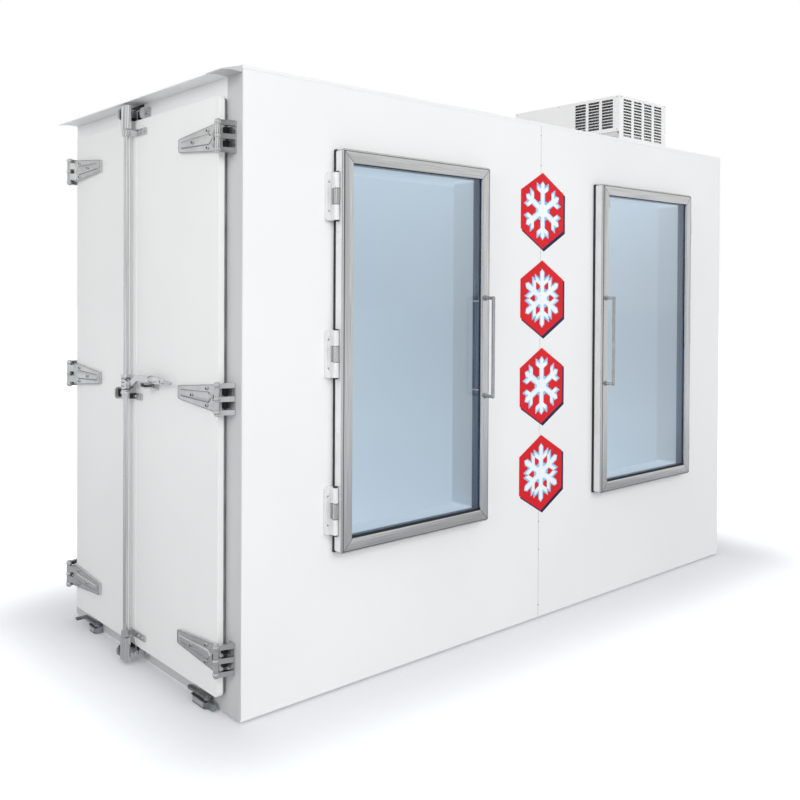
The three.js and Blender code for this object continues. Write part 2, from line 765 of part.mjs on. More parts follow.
// Two ears on a plate, open outwards, that the rod's cam stands between when the door is shut.
function rodKeeper(z0, z1) {
  const back = FIT - rod.proud;
  const outer = keeper.halfSpacing + keeper.ear;
  const middle = (z0 + z1) / 2;
  const ear = (reach) => {
    const front = reach - rod.proud;
    const outline = new THREE.Shape();
    outline.moveTo(back, z0);
    outline.lineTo(front - keeper.nose, z0);
    outline.quadraticCurveTo(front, z0, front, middle);
    outline.quadraticCurveTo(front, z1, front - keeper.nose, z1);
    outline.lineTo(back, z1);
    outline.closePath();
    return outline;
  };
  const flange = outer + keeper.flange;
  const plate = extruded(roundedRectangle([-flange, z0], [flange, z1], 8), "xz", back, back + keeper.plate, 3);
  const holes = [-1, 1].map((s) =>
    rodAlong("y", keeper.boltRadius, back - 1, back + keeper.plate + 1, [s * (outer + keeper.flange / 2), middle], HOLE_SIDES));
  return cut(
    join(
      plate,
      extruded(ear(keeper.reach), "yz", keeper.halfSpacing, outer, 4),
      extruded(ear(keeper.hookReach), "yz", -outer, -keeper.halfSpacing, 4),
    ),
    ...holes,
  );
}

// Ear on the rear leaf beside the rod's clamp, clear of the handle when that is swung right over.
function rodEar() {
  const { start, ear, low, high, reach, nose, foot, plate } = middleKeeper;
  const back = leafFace + FIT - rod.proud;
  const front = reach - rod.proud;
  const outline = new THREE.Shape();
  outline.moveTo(back, low);
  outline.lineTo(front - nose, low);
  outline.quadraticCurveTo(front, low, front, (low + high) / 2);
  outline.quadraticCurveTo(front, high, front - nose, high);
  outline.lineTo(back, high);
  outline.closePath();
  const base = extruded(roundedRectangle([start, low], [start + foot, high], 6), "xz", back, back + plate, 3);
  const bolt = rodAlong("y", keeper.boltRadius, back - 1, back + plate + 1, [start + foot * 0.68, (low + high) / 2], HOLE_SIDES);
  return cut(join(base, extruded(outline, "yz", start, start + ear, 4)), bolt);
}

// Flat handle: a boss on the hub's pivot, a rising neck, a level grip and a round tip.
// The pivot is at the origin and the handle points to -x.
function lockHandle() {
  const { boss, gripRise: rise, gripStart, gripEnd, gripHalf, neckHalf } = handle;
  const outline = new THREE.Shape();
  outline.absarc(0, 0, boss, Math.PI * 0.55, -Math.PI * 0.6, true);
  outline.quadraticCurveTo(-gripStart * 0.5, -neckHalf * 0.2, -gripStart, rise - gripHalf);
  outline.lineTo(-gripEnd, rise - gripHalf * 0.8);
  outline.absarc(-gripEnd, rise, gripHalf * 0.8, -Math.PI / 2, Math.PI / 2, true);
  outline.lineTo(-gripStart * 1.2, rise + gripHalf);
  outline.quadraticCurveTo(-gripStart * 0.75, rise + gripHalf, -gripStart * 0.4, boss * 1.2);
  outline.closePath();
  const half = handle.thick / 2;
  const blade = extruded(outline, "xz", -half, half, 6);
  const tip = rodAlong("x", handle.tipRadius, -gripEnd - handle.tipLength, -gripEnd + 4, [0, rise], BORE_SIDES);
  return cut(
    join(blade, tip),
    rodAlong("y", handle.bore, -half - 1, half + 1, [0, 0], BORE_SIDES),
    rodAlong("y", handle.hole, -half - 1, half + 1, [-gripEnd + 12, rise], HOLE_SIDES),
  );
}

// Plate on the leaf with a shelf that the level grip rests on.
function handleCatchBody() {
  const gripBottom = hub.centre + handle.gripRise - handle.gripHalf;
  const shelfTop = gripBottom - FIT;
  const back = leafFace + FIT;
  const half = handleCatch.width / 2;
  const plate = extruded(
    roundedRectangle([-half, shelfTop - handleCatch.plateDrop], [half, shelfTop + handleCatch.plateRise], 10),
    "xz", back, back + handleCatch.plate, 4);
  const side = new THREE.Shape();
  side.moveTo(back + 1, shelfTop);
  side.lineTo(handleCatch.reach, shelfTop);
  side.lineTo(handleCatch.reach, shelfTop - handleCatch.shelfThick);
  side.quadraticCurveTo(back + 14, shelfTop - 9, back + 7, shelfTop - handleCatch.plateDrop * 0.8);
  side.lineTo(back + 1, shelfTop - handleCatch.plateDrop * 0.8);
  side.closePath();
  const shelf = extruded(side, "yz", -handleCatch.shelf / 2, handleCatch.shelf / 2, 5);
  const hole = rodAlong("z", 5, shelfTop - 30, shelfTop + 5, [0, handleCatch.reach - 9], HOLE_SIDES);
  return cut(join(plate, shelf), hole);
}

function addLock(door, rearDoor) {
  const carrier = groupAt(door, rod.along - frontPin, rod.proud - strap.pinProud, 0);
  add(carrier, "lock_rod", lockRod(), polished);
  const pivot = groupAt(carrier, -hub.pivotReach, 0, hub.centre);
  add(pivot, "lock_handle", lockHandle(), polished);
  const guideTop = camTopStart - guide.gapToCam;
  const guideFoot = camFootTop + guide.gapToCam;
  const hubFoot = hub.centre - hub.height / 2 - guide.gapToCam;
  const tail = frontLeafEnd - rod.along - 2;
  add(carrier, "rod_guide_top", rodGuide(guideTop - guide.height, guideTop, guide.arm, guide.eye), zinc);
  add(carrier, "rod_guide_middle", rodGuide(hubFoot - guide.height, hubFoot, guide.arm * 0.72, tail), zinc);
  add(carrier, "rod_guide_bottom", rodGuide(guideFoot, guideFoot + guide.height, guide.arm, guide.eye), zinc);
  const catchGroup = groupAt(door, handleCatch.along - frontPin, -strap.pinProud, 0);
  add(catchGroup, "handle_catch", handleCatchBody(), zinc);
  const keepers = groupAt(endFace, rod.along, rod.proud, 0);
  const topKeeper = leafTop + keeper.offset;
  const bottomKeeper = leafBottom - keeper.offset;
  const stay = groupAt(rearDoor, rod.along - rearPin, rod.proud - strap.pinProud, 0);
  add(stay, "keeper_middle", rodEar(), zinc);
  add(keepers, "keeper_top", rodKeeper(topKeeper, topKeeper + keeper.height), zinc);
  add(keepers, "keeper_bottom", rodKeeper(bottomKeeper - keeper.height, bottomKeeper), zinc);
}

// ---------------------------------------------------------------- base latches

// Cast block on the sill from the origin to length, with a pivot pin on top at pivotX.
function latchBlock(length, pivotX, tongue) {
  const { chamfer, proud, bottom, top } = latch;
  const outline = polygon([
    [0, FIT], [length, FIT], [length, proud - chamfer], [length - chamfer, proud], [chamfer, proud], [0, proud - chamfer],
  ]);
  const body = extruded(outline, "xy", bottom, top);
  const pin = rodAlong("z", latch.pinRadius, top - 1, top + FIT + latch.leverThick, [pivotX, latch.pivotProud], PIN_SIDES);
  const shapes = [body, pin];
  if (tongue) {
    const nose = roundedRectangle([-latch.tongue, bottom + 1], [chamfer, bottom + 1 + 2 * latch.tongueHalf - 9], latch.tongueHalf * 0.6);
    shapes.push(extruded(nose, "xz", latch.pivotProud - latch.tongueThick / 2, latch.pivotProud + latch.tongueThick / 2, 5));
  }
  return join(...shapes);
}

// Swinging lever on the pivot at the origin, pointing to +x; hook turns its end outwards as a fork.
function latchLever(reach, hook) {
  const { boss, barHalf } = latch;
  const outline = new THREE.Shape();
  outline.absarc(0, 0, boss, 0.25 * Math.PI, 1.75 * Math.PI, false);
  outline.lineTo(boss + 8, -barHalf);
  if (hook) {
    outline.lineTo(reach, -barHalf);
    outline.lineTo(reach, hook);
    outline.lineTo(reach - 5, hook);
    outline.lineTo(reach - 5, hook - latch.prong);
    outline.lineTo(reach - 13, hook - latch.prong);
    outline.lineTo(reach - 13, hook);
    outline.lineTo(reach - 18, hook);
    outline.lineTo(reach - 18, barHalf);
  } else {
    outline.lineTo(reach - barHalf, -barHalf);
    outline.absarc(reach - barHalf, 0, barHalf, -Math.PI / 2, Math.PI / 2, false);
  }
  outline.lineTo(boss + 8, barHalf);
  outline.closePath();
  const bar = extruded(outline, "xy", 0, latch.leverThick, 6);
  return cut(bar, rodAlong("z", latch.bore, -1, latch.leverThick + 1, [0, 0], BORE_SIDES));
}

function addBaseLatch(name, start, length, reach, hook, tongue) {
  const block = groupAt(endFace, start, 0, 0);
  add(block, `base_latch_${name}`, latchBlock(length, latch.pivotInset, tongue), castDark);
  const lever = groupAt(block, latch.pivotInset, latch.pivotProud, latch.top + FIT);
  add(lever, `base_lever_${name}`, latchLever(reach, hook), castDark);
}

// ---------------------------------------------------------------- glass doors

// Door pieces are drawn with the hinge pin at the origin and the leaf towards side * x.
function glassFrame(side) {
  const { pinOut, pinProud } = glassHinge;
  const { face, back, frameWidth, bevel, innerBevel, lip, rebate, rebateDepth } = glassDoor;
  const inner = frameWidth - rebate;
  const section = [
    [0, back], [0, face - bevel], [bevel, face], [frameWidth - innerBevel, face],
    [frameWidth, face - innerBevel], [frameWidth, face - lip], [inner, face - lip],
    [inner, face - lip - rebateDepth], [frameWidth, face - lip - rebateDepth], [frameWidth, back],
  ].map(([inset, front]) => [inset, front - pinProud]);
  const low = [pinOut, glassDoor.bottom];
  const high = [pinOut + glassDoor.width, glassDoor.bottom + glassDoor.height];
  const ring = frameSweep(low, high, glassDoor.cornerRadius, section);
  const half = glassHinge.knuckle / 2;
  const shapes = [solid(ring)];
  const bores = [];
  for (const z of glassHingeHeights) {
    shapes.push(rodAlong("z", glassHinge.barrel, z - half, z + half, [0, 0]));
    shapes.push(box([0, back - pinProud + 4, z - half], [pinOut + 3, glassHinge.barrel / 2, z + half]));
    bores.push(rodAlong("z", glassHinge.bore, z - half - 1, z + half + 1, [0, 0], BORE_SIDES));
  }
  return mirroredX(cut(join(...shapes), ...bores), side);
}

function glassPane(side) {
  const inset = glassDoor.frameWidth - glassDoor.rebate + FIT;
  const front = glassDoor.face - glassDoor.lip - FIT - glassHinge.pinProud;
  const back = front - glassDoor.rebateDepth + 2 * FIT;
  const low = [glassHinge.pinOut + inset, back, glassDoor.bottom + inset];
  const high = [glassHinge.pinOut + glassDoor.width - inset, front, glassDoor.bottom + glassDoor.height - inset];
  return mirroredX(solid(box(low, high)), side);
}

function glassGasket(side) {
  const [start, wide] = [glassDoor.gasketInset, glassDoor.gasketWidth];
  const front = glassDoor.back - FIT;
  const section = [
    [start, front], [start, front * 0.7], [start + 6, FIT],
    [start + wide - 6, FIT], [start + wide, front * 0.7], [start + wide, front],
  ].map(([inset, y]) => [inset, y - glassHinge.pinProud]);
  const low = [glassHinge.pinOut, glassDoor.bottom];
  const high = [glassHinge.pinOut + glassDoor.width, glassDoor.bottom + glassDoor.height];
  return mirroredX(solid(frameSweep(low, high, glassDoor.cornerRadius, section)), side);
}

// Upright pull on two posts, opposite the hinges.
function doorPull(side) {
  const x = glassHinge.pinOut + glassDoor.width - pull.inset;
  const face = glassDoor.face + FIT - glassHinge.pinProud;
  const bar = face + pull.standoff;
  const half = pull.length / 2;
  const round = pull.radius;
  const profile = [
    [0, -half], [round * 0.6, -half + 1.2], [round, -half + 5],
    [round, half - 5], [round * 0.6, half - 1.2], [0, half],
  ].map(([r, z]) => new THREE.Vector2(r, z));
  const shapes = [new THREE.LatheGeometry(profile, BORE_SIDES).rotateX(Math.PI / 2).translate(x, bar, shutGlass)];
  for (const s of [-1, 1]) {
    const z = shutGlass + s * (half - pull.postEnd);
    shapes.push(rodAlong("y", pull.post, face + 1, bar, [x, z], PIN_SIDES));
    shapes.push(rodAlong("y", pull.foot, face, face + pull.footThick, [x, z]));
  }
  return mirroredX(join(...shapes), side);
}

// Cabinet half of a glass door hinge, with two knuckles and the pin, centred on the pin's middle.
function cabinetHinge(side) {
  const { pinOut, pinProud, plateWidth, plateThick, plateToLeaf, barrel, armHalf } = glassHinge;
  const half = glassHinge.height / 2;
  const plateEnd = pinOut - plateToLeaf;
  const back = FIT - pinProud;
  const plate = extruded(
    roundedRectangle([plateEnd - plateWidth, -half], [plateEnd, half], glassHinge.plateRadius),
    "xz", back, back + plateThick, 2);
  const shapes = [plate, rodAlong("z", glassHinge.pin, -half + 3, half - 3, [0, 0], PIN_SIDES)];
  const knuckleStart = glassHinge.knuckle / 2 + glassHinge.gap;
  for (const s of [-1, 1]) {
    const [z0, z1] = s > 0 ? [knuckleStart, half - 2] : [-half + 2, -knuckleStart];
    shapes.push(rodAlong("z", barrel, z0, z1, [0, 0]));
    shapes.push(box([-armHalf, back + plateThick - 1, z0], [armHalf, 0, z1]));
  }
  const [low, high] = [plateEnd - plateWidth + 4, plateEnd - plateWidth + 4 + glassHinge.recessWidth];
  const panel = extruded(
    roundedRectangle([low, -glassHinge.recessHalf], [high, glassHinge.recessHalf], 3),
    "xz", back + plateThick - glassHinge.recess, back + plateThick + 1, 2);
  return mirroredX(cut(join(...shapes), panel), side);
}

function addGlassDoor(name, side) {
  const hinged = -side * (glassDoor.centre + glassDoor.width / 2 + glassHinge.pinOut);
  const door = groupAt(frontFace, hinged, glassHinge.pinProud, 0);
  add(door, `glass_door_${name}_frame`, glassFrame(side), satinFrame);
  add(door, `glass_door_${name}_glass`, glassPane(side), clearGlass);
  add(door, `glass_door_${name}_gasket`, glassGasket(side), blackRubber);
  add(door, `glass_door_${name}_handle`, doorPull(side), polished);
  ["low", "mid", "high"].forEach((level, k) => {
    const group = groupAt(frontFace, hinged, glassHinge.pinProud, glassHingeHeights[k]);
    add(group, `glass_hinge_${name}_${level}`, cabinetHinge(side), whitePaint);
  });
}

// ---------------------------------------------------------------- roof unit

// Cutters for the slots of a louvre pattern, from the height top down; place turns a slot into a box.
function louvreCutters({ columns, rows, start, width, pitch, slot, rowPitch }, top, place) {
  const cutters = [];
  for (let c = 0; c < columns; c++) {
    const near = start + c * pitch;
    for (let r = 0; r < rows; r++) {
      const high = top - r * rowPitch;
      cutters.push(place(near, near + width, high - slot, high));
    }
  }
  return cutters;
}

// Sheet housing, open below. Its own origin is its front left corner on the roof.
function unitHousing() {
  const { width, depth, height, sheet, skirtGap, slotTop } = unit;
  const top = height - slotTop;
  const shell = join(
    box([0, 0, FIT], [width, sheet, height]),
    box([0, depth - sheet, FIT], [width, depth, height]),
    box([0, 0, skirtGap], [sheet, depth, height]),
    box([width - sheet, 0, skirtGap], [width, depth, height]),
    box([0, 0, height - sheet], [width, depth, height]),
  );
  return cut(
    shell,
    ...louvreCutters(frontLouvre, top, (a0, a1, z0, z1) => box([a0, -1, z0], [a1, sheet + 1, z1])),
    ...louvreCutters(sideLouvre, top, (a0, a1, z0, z1) => box([-1, a0, z0], [sheet + 1, a1, z1])),
  );
}

function unitTray() {
  const { width, depth, trayInset: inset, trayHeight, trayWall } = unit;
  const outer = box([inset, inset, FIT], [width - inset, depth - inset, trayHeight]);
  const hollow = box(
    [inset + trayWall, inset + trayWall, FIT + trayWall],
    [width - inset - trayWall, depth - inset - trayWall, trayHeight + 1]);
  return cut(outer, hollow);
}

const trayFloor = unit.trayWall + 2 * FIT;
const coilX = unit.trayInset + unit.trayWall + cooling.coilGap;
const coilMiddle = cooling.coilStart + cooling.coilWidth / 2;
const coilCentre = trayFloor + cooling.coilHeight / 2;

// Finned coil with its return bends' end plates: a block with shallow upright fin grooves.
function condenserCoil() {
  const { coilThick, coilWidth, coilStart, coilHeight, coilGrooves } = cooling;
  const pitch = coilWidth / coilGrooves;
  const outline = [[coilX + coilThick, coilStart], [coilX + coilThick, coilStart + coilWidth]];
  for (let k = coilGrooves; k > 0; k--) {
    const edge = coilStart + k * pitch;
    outline.push([coilX, edge], [coilX, edge - pitch * 0.6], [coilX + 6, edge - pitch * 0.6], [coilX + 6, edge - pitch]);
  }
  return extruded(polygon(outline), "xy", trayFloor, trayFloor + coilHeight);
}

const shroudX = coilX + cooling.coilThick + cooling.shroudGap;
const wheelX = shroudX + cooling.shroudThick + cooling.fanGap;

// Plate with the fan's opening, standing on the tray behind the coil.
function fanShroud() {
  const { coilWidth, coilStart, coilHeight, shroudThick, fanRadius, fanClear } = cooling;
  const outline = polygon([
    [coilStart, trayFloor], [coilStart + coilWidth, trayFloor],
    [coilStart + coilWidth, trayFloor + coilHeight], [coilStart, trayFloor + coilHeight],
  ]);
  const mouth = new THREE.Path();
  mouth.absarc(coilMiddle, coilCentre, fanRadius + fanClear, 0, 2 * Math.PI, false);
  outline.holes.push(mouth);
  const foot = box(
    [shroudX, coilStart, trayFloor], [shroudX + 30, coilStart + coilWidth, trayFloor + shroudThick]);
  return join(extruded(outline, "yz", shroudX, shroudX + shroudThick, 20), foot);
}

// Motor on a post from the tray, with the shaft that carries the fan.
function fanMotor() {
  const { motorRadius, motorLength, motorGap, shaft, hub: hubRadius } = cooling;
  const wheelEnd = wheelX + cooling.bladeWidth;
  const start = wheelEnd + motorGap;
  const at = [coilMiddle, coilCentre];
  return join(
    rodAlong("x", motorRadius, start, start + motorLength, at),
    rodAlong("x", hubRadius * 0.6, start - motorGap + FIT, start + 1, at),
    rodAlong("x", shaft, wheelX, start + 1, at, PIN_SIDES),
    box([start + 14, coilMiddle - 16, trayFloor], [start + 22, coilMiddle + 16, coilCentre]),
    box([start + 4, coilMiddle - 40, trayFloor], [start + 54, coilMiddle + 40, trayFloor + 4]),
  );
}

// Domed hermetic compressor on a foot plate.
function compressorBody() {
  const { compressorRadius: r, compressorHeight: h } = cooling;
  const base = trayFloor + 4;
  const profile = [
    [0, base], [r * 0.8, base], [r * 0.97, base + 14], [r, base + h * 0.2], [r, base + h * 0.6],
    [r * 0.9, base + h * 0.82], [r * 0.62, base + h * 0.95], [0, base + h],
  ].map(([a, b]) => new THREE.Vector2(a, b));
  const shell = new THREE.LatheGeometry(profile, 14).rotateX(Math.PI / 2);
  const feet = extruded(roundedRectangle([-r, -r], [r, r], 20), "xy", trayFloor, base + 2, 4);
  return join(shell, feet).translate([unit.width / 2 + 20, cooling.compressorAlong, 0]);
}

// Coil case under the roof inside the cabinet, with a round fan mouth towards the doors.
const evaporatorTop = cabinet.height - cabinet.roof - FIT;
const evaporatorX = -leftX - cabinet.wall - FIT - evaporator.width - 4;
const evaporatorFront = unit.front + unit.depth - evaporator.backFromUnit - evaporator.depth;

function evaporatorCase() {
  const { width, depth, height, sheet, fanRadius, fanClear } = evaporator;
  const [low, high] = [[0, 0, -height], [width, depth, 0]];
  const inside = box([sheet, -1, -height + sheet], [width - sheet, depth - sheet, -sheet]);
  const front = polygon([[0, -height], [width, -height], [width, 0], [0, 0]]);
  const mouth = new THREE.Path();
  mouth.absarc(width / 2, -height / 2, fanRadius + fanClear, 0, 2 * Math.PI, false);
  front.holes.push(mouth);
  const wheelBack = evaporatorWheelBack();
  return join(
    cut(box(low, high), inside),
    extruded(front, "xz", 0, sheet, 16),
    rodAlong("y", evaporator.motorRadius, wheelBack + FIT, depth - sheet + 1, [width / 2, -height / 2]),
    rodAlong("y", cooling.shaft, sheet + FIT, wheelBack + 1, [width / 2, -height / 2], PIN_SIDES),
  );
}
const evaporatorWheelBack = () => evaporator.sheet + 4 + evaporator.bladeWidth + 2;

function addRoofUnit() {
  const roofGroup = groupAt(freezer, -leftX - unit.fromEnd, unit.front, cabinet.height);
  add(roofGroup, "unit_housing", unitHousing(), whitePaint);
  add(roofGroup, "unit_tray", unitTray(), whitePaint);
  add(roofGroup, "condenser_coil", condenserCoil(), copper);
  add(roofGroup, "fan_shroud", fanShroud(), blackSteel);
  add(roofGroup, "fan_motor", fanMotor(), blackSteel);
  add(roofGroup, "compressor", compressorBody(), blackSteel);
  const wheelGroup = groupAt(roofGroup, wheelX, coilMiddle, coilCentre);
  const wheel = { ...cooling, radius: cooling.fanRadius, bore: cooling.shaftBore, x0: 0, x1: cooling.bladeWidth };
  add(wheelGroup, "condenser_fan", fanWheel(wheel), blackSteel);

  const inside = groupAt(freezer, evaporatorX, evaporatorFront, evaporatorTop);
  add(inside, "evaporator_case", evaporatorCase(), whitePaint);
  const smallGroup = groupAt(inside, evaporator.width / 2, evaporator.sheet + 4, -evaporator.height / 2);
  smallGroup.rotation.z = Math.PI / 2;
  const small = { ...evaporator, radius: evaporator.fanRadius, bore: cooling.shaftBore, x0: 0, x1: evaporator.bladeWidth };
  add(smallGroup, "evaporator_fan", fanWheel(small), blackSteel);
}

// ---------------------------------------------------------------- whole freezer

addCabinet();
const frontLeafDoor = addLoadingDoor("front", leafStart, frontLeafEnd, 1);
const rearLeafDoor = addLoadingDoor("rear", rearLeafStart, leafEnd, -1);
addLock(frontLeafDoor, rearLeafDoor);
addBaseLatch("front", latch.frontStart, latch.frontLength, latch.frontReach, 0, true);
addBaseLatch("rear", latch.rearStart, latch.rearLength, latch.rearReach, latch.rearHook, false);
addGlassDoor("left", -1);
addGlassDoor("right", 1);
addRoofUnit();

export default freezer;
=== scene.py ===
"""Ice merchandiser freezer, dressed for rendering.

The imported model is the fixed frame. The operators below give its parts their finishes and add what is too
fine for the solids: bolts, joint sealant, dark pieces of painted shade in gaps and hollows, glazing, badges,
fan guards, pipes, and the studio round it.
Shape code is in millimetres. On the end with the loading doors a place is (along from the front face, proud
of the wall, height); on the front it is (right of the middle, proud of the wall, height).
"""
import json
import math
import bpy
import bmesh
from mathutils import Matrix, Vector

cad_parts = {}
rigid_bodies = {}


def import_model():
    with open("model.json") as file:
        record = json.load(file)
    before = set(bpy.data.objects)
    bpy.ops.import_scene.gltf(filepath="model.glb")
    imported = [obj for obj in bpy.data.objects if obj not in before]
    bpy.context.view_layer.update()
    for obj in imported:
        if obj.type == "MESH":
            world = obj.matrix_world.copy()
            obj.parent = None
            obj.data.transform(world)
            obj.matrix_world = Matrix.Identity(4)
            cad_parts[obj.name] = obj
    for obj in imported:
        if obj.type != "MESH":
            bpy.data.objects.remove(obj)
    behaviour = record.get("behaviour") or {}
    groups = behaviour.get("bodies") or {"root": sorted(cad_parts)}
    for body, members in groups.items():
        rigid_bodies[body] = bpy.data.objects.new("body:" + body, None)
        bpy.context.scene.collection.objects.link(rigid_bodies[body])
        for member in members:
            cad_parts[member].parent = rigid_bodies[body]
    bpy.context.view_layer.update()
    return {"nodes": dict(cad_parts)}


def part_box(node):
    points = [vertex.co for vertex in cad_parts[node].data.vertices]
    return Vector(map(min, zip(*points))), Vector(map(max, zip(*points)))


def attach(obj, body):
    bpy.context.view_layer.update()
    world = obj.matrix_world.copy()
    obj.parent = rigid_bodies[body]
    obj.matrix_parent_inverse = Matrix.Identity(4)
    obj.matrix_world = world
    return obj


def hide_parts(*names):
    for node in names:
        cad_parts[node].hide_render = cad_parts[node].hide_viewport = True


for leftover in list(bpy.data.objects):
    bpy.data.objects.remove(leftover)
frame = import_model()

bl_info = {
    "name": "Ice merchandiser freezer",
    "version": (1, 0, 0),
    "blender": (4, 5, 0),
    "location": "3D View > Sidebar > Freezer",
    "description": "Dresses the packed freezer with finishes, fittings and a studio",
    "category": "Object",
}

MM = 0.001
PHOTO = 800  # the photograph's width and height in pixels

# The faces that carry fittings, from millimetres to metres in the model's frame.
LEFT_FACE, FRONT_FACE = -1486.0, -665.0
WORLD = Matrix.Scale(MM, 4)
END = WORLD @ Matrix(((0, -1, 0, LEFT_FACE), (1, 0, 0, FRONT_FACE), (0, 0, 1, 0), (0, 0, 0, 1)))
FRONT = WORLD @ Matrix(((1, 0, 0, 0), (0, -1, 0, FRONT_FACE), (0, 0, 1, 0), (0, 0, 0, 1)))

# Places that repeat the solids' sizes.
HINGE_PIN = {"front": (55.7, 1), "rear": (1274.3, -1)}  # along, side the leaf lies on
HINGE_HEIGHTS = (205.0, 1055.0, 1905.0)
PIN_PROUD = 56.0
LUG_PITCH = 44.0
STRAP_FACE, STRAP_RIB = 46.3, 50.5
ROD_ALONG, ROD_PROUD = 706.0, 66.0
HUB_CENTRE = 1055.0
GUIDE_FACE = 41.3  # flange of the rod guides and the handle's catch
HANDLE_PIVOT = ROD_ALONG - 34.0
KEEPER_HEIGHTS = (2070.3, 39.7)
DOOR_CENTRE, DOOR_WIDTH, DOOR_LOW, DOOR_HIGH = 743.0, 745.0, 495.0, 1900.0
PULL_CENTRE, PULL_HALF, PULL_INSET = 1189.5, 202.0, 28.0
GLASS_HINGES = (644.5, 1189.5, 1734.5)
LATCHES = {"front": (162.0, 99.0), "rear": (1055.0, 66.0)}  # start along the sill, length
LEVER_TOP = 38.3
ROOF = 2134.0
UNIT_LEFT, UNIT_FRONT, UNIT_WIDTH, UNIT_DEPTH, UNIT_HEIGHT = 971.0, -380.0, 435.0, 715.0, 308.0
PAN_INSET, PAN_TOP, SKIRT_LOW = 9.0, 108.0, 120.0
LOUVRE_TOP, LOUVRE_PITCH = 16.0, 15.5  # from the unit's top to the first blade, and from blade to blade


# ---------------------------------------------------------------- colours and nodes

def linear(code):
    """An sRGB hex colour as the linear colour that shaders take."""
    parts = [int(code[k:k + 2], 16) / 255 for k in (0, 2, 4)]
    return tuple(c / 12.92 if c <= 0.04045 else ((c + 0.055) / 1.055) ** 2.4 for c in parts) + (1.0,)


def shade(name):
    """A colour of the add-on's settings by its name, or else a hex colour."""
    chosen = getattr(bpy.context.scene.freezer_colours, name, None)
    return linear(name) if chosen is None else tuple(chosen)


class Nodes:
    """A node tree, with short calls for what the finishes and the studio are made of."""

    def __init__(self, tree):
        self.tree = tree

    def add(self, kind, settings=None, inputs=None):
        """One node; inputs maps a socket's name or number to what feed takes."""
        made = self.tree.nodes.new(kind)
        for name, value in (settings or {}).items():
            setattr(made, name, value)
        for name, value in (inputs or {}).items():
            self.feed(made.inputs[name], value)
        return made

    def feed(self, socket, value):
        """Gives a socket a plain value, another socket or a node's first output."""
        if isinstance(value, bpy.types.Node):
            value = value.outputs[0]
        if isinstance(value, bpy.types.NodeSocket):
            self.tree.links.new(value, socket)
        else:
            socket.default_value = value

    def maths(self, operation, first, second=0.0, third=0.0):
        """One step of arithmetic on numbers or sockets."""
        return self.add("ShaderNodeMath", {"operation": operation}, {0: first, 1: second, 2: third}).outputs[0]

    def split(self, vector):
        """The three parts of a vector."""
        return self.add("ShaderNodeSeparateXYZ", None, {0: vector}).outputs

    def blend(self, factor, first, second):
        """The first colour where factor is 0 and the second where it is 1."""
        return self.add("ShaderNodeMix", {"data_type": "RGBA"}, {0: factor, 6: first, 7: second}).outputs[2]

    def ease(self, value, start, end, low, high, step="SMOOTHSTEP"):
        """low up to start and high from end on, with a step of that kind between."""
        return self.add("ShaderNodeMapRange", {"interpolation_type": step},
                        {"Value": value, "From Min": start, "From Max": end, "To Min": low, "To Max": high})

    def spread(self, noise, low=0.0, high=1.0):
        """The middle of a noise's values drawn out to low and high."""
        return self.ease(noise, 0.32, 0.68, low, high, "LINEAR")

    def bounced(self):
        """The kinds of ray, and 1 for those that come by way of a mirror or through glass."""
        rays = self.add("ShaderNodeLightPath").outputs
        return rays, self.maths("MAXIMUM", rays["Is Glossy Ray"], rays["Is Transmission Ray"])


class Finish(Nodes):
    """A new material, with its shader and the object's coordinates in metres."""

    def __init__(self, name, **sockets):
        self.material = bpy.data.materials.new(name)
        self.material.use_nodes = True
        super().__init__(self.material.node_tree)
        self.shader = self.tree.nodes["Principled BSDF"]
        self.place = self.add("ShaderNodeTexCoord").outputs["Object"]
        self.plug(**sockets)

    def plug(self, **sockets):
        """Feeds the shader's sockets; an underline stands for a space in their names."""
        for name, value in sockets.items():
            self.feed(self.shader.inputs[name.replace("_", " ")], value)

    def grain(self, per_metre, detail=2.0, stretch=(1.0, 1.0, 1.0)):
        """Noise with about per_metre features in a metre; a stretch below 1 draws it out along that axis."""
        laid = self.add("ShaderNodeMapping", None, {"Vector": self.place, "Scale": stretch})
        return self.add("ShaderNodeTexNoise", None, {"Vector": laid, "Scale": per_metre, "Detail": detail})

    def bumps(self, *layers):
        """Plugs in bumps, each laid over the one before: height, depth in millimetres, strength."""
        below = {}
        for height, depth, strength in layers:
            inputs = {"Height": height, "Distance": depth * MM, "Strength": strength, **below}
            below = {"Normal": self.add("ShaderNodeBump", None, inputs)}
        self.plug(**below)


# ---------------------------------------------------------------- finishes

def liner_painted_glow(made, place):
    """Strength of the painted glow on the liner, a lamp-like light where no lamp is: paler at the left, top and bottom
    of each wall.
    """
    facing = made.split(made.add("ShaderNodeNewGeometry").outputs["Normal"])
    sideways, lengthways, level = [made.maths("ABSOLUTE", part) for part in facing]
    rise = made.maths("SUBTRACT", place[2], 1.1)
    bowl = made.maths("MULTIPLY", rise, rise)
    glow = 0.0
    for share, value, slope, hollow, base in (
            (lengthways, place[0], -0.15, 0.18, 0.385),  # front and rear walls
            (sideways, place[1], 0.22, 0.31, 0.355),  # end walls
            (level, facing[2], 0.05, 0.0, 0.47)):  # floor and roof
        strength = made.maths("MULTIPLY_ADD", value, slope, made.maths("MULTIPLY_ADD", bowl, hollow, base))
        glow = made.maths("MULTIPLY_ADD", share, strength, glow)
    return glow


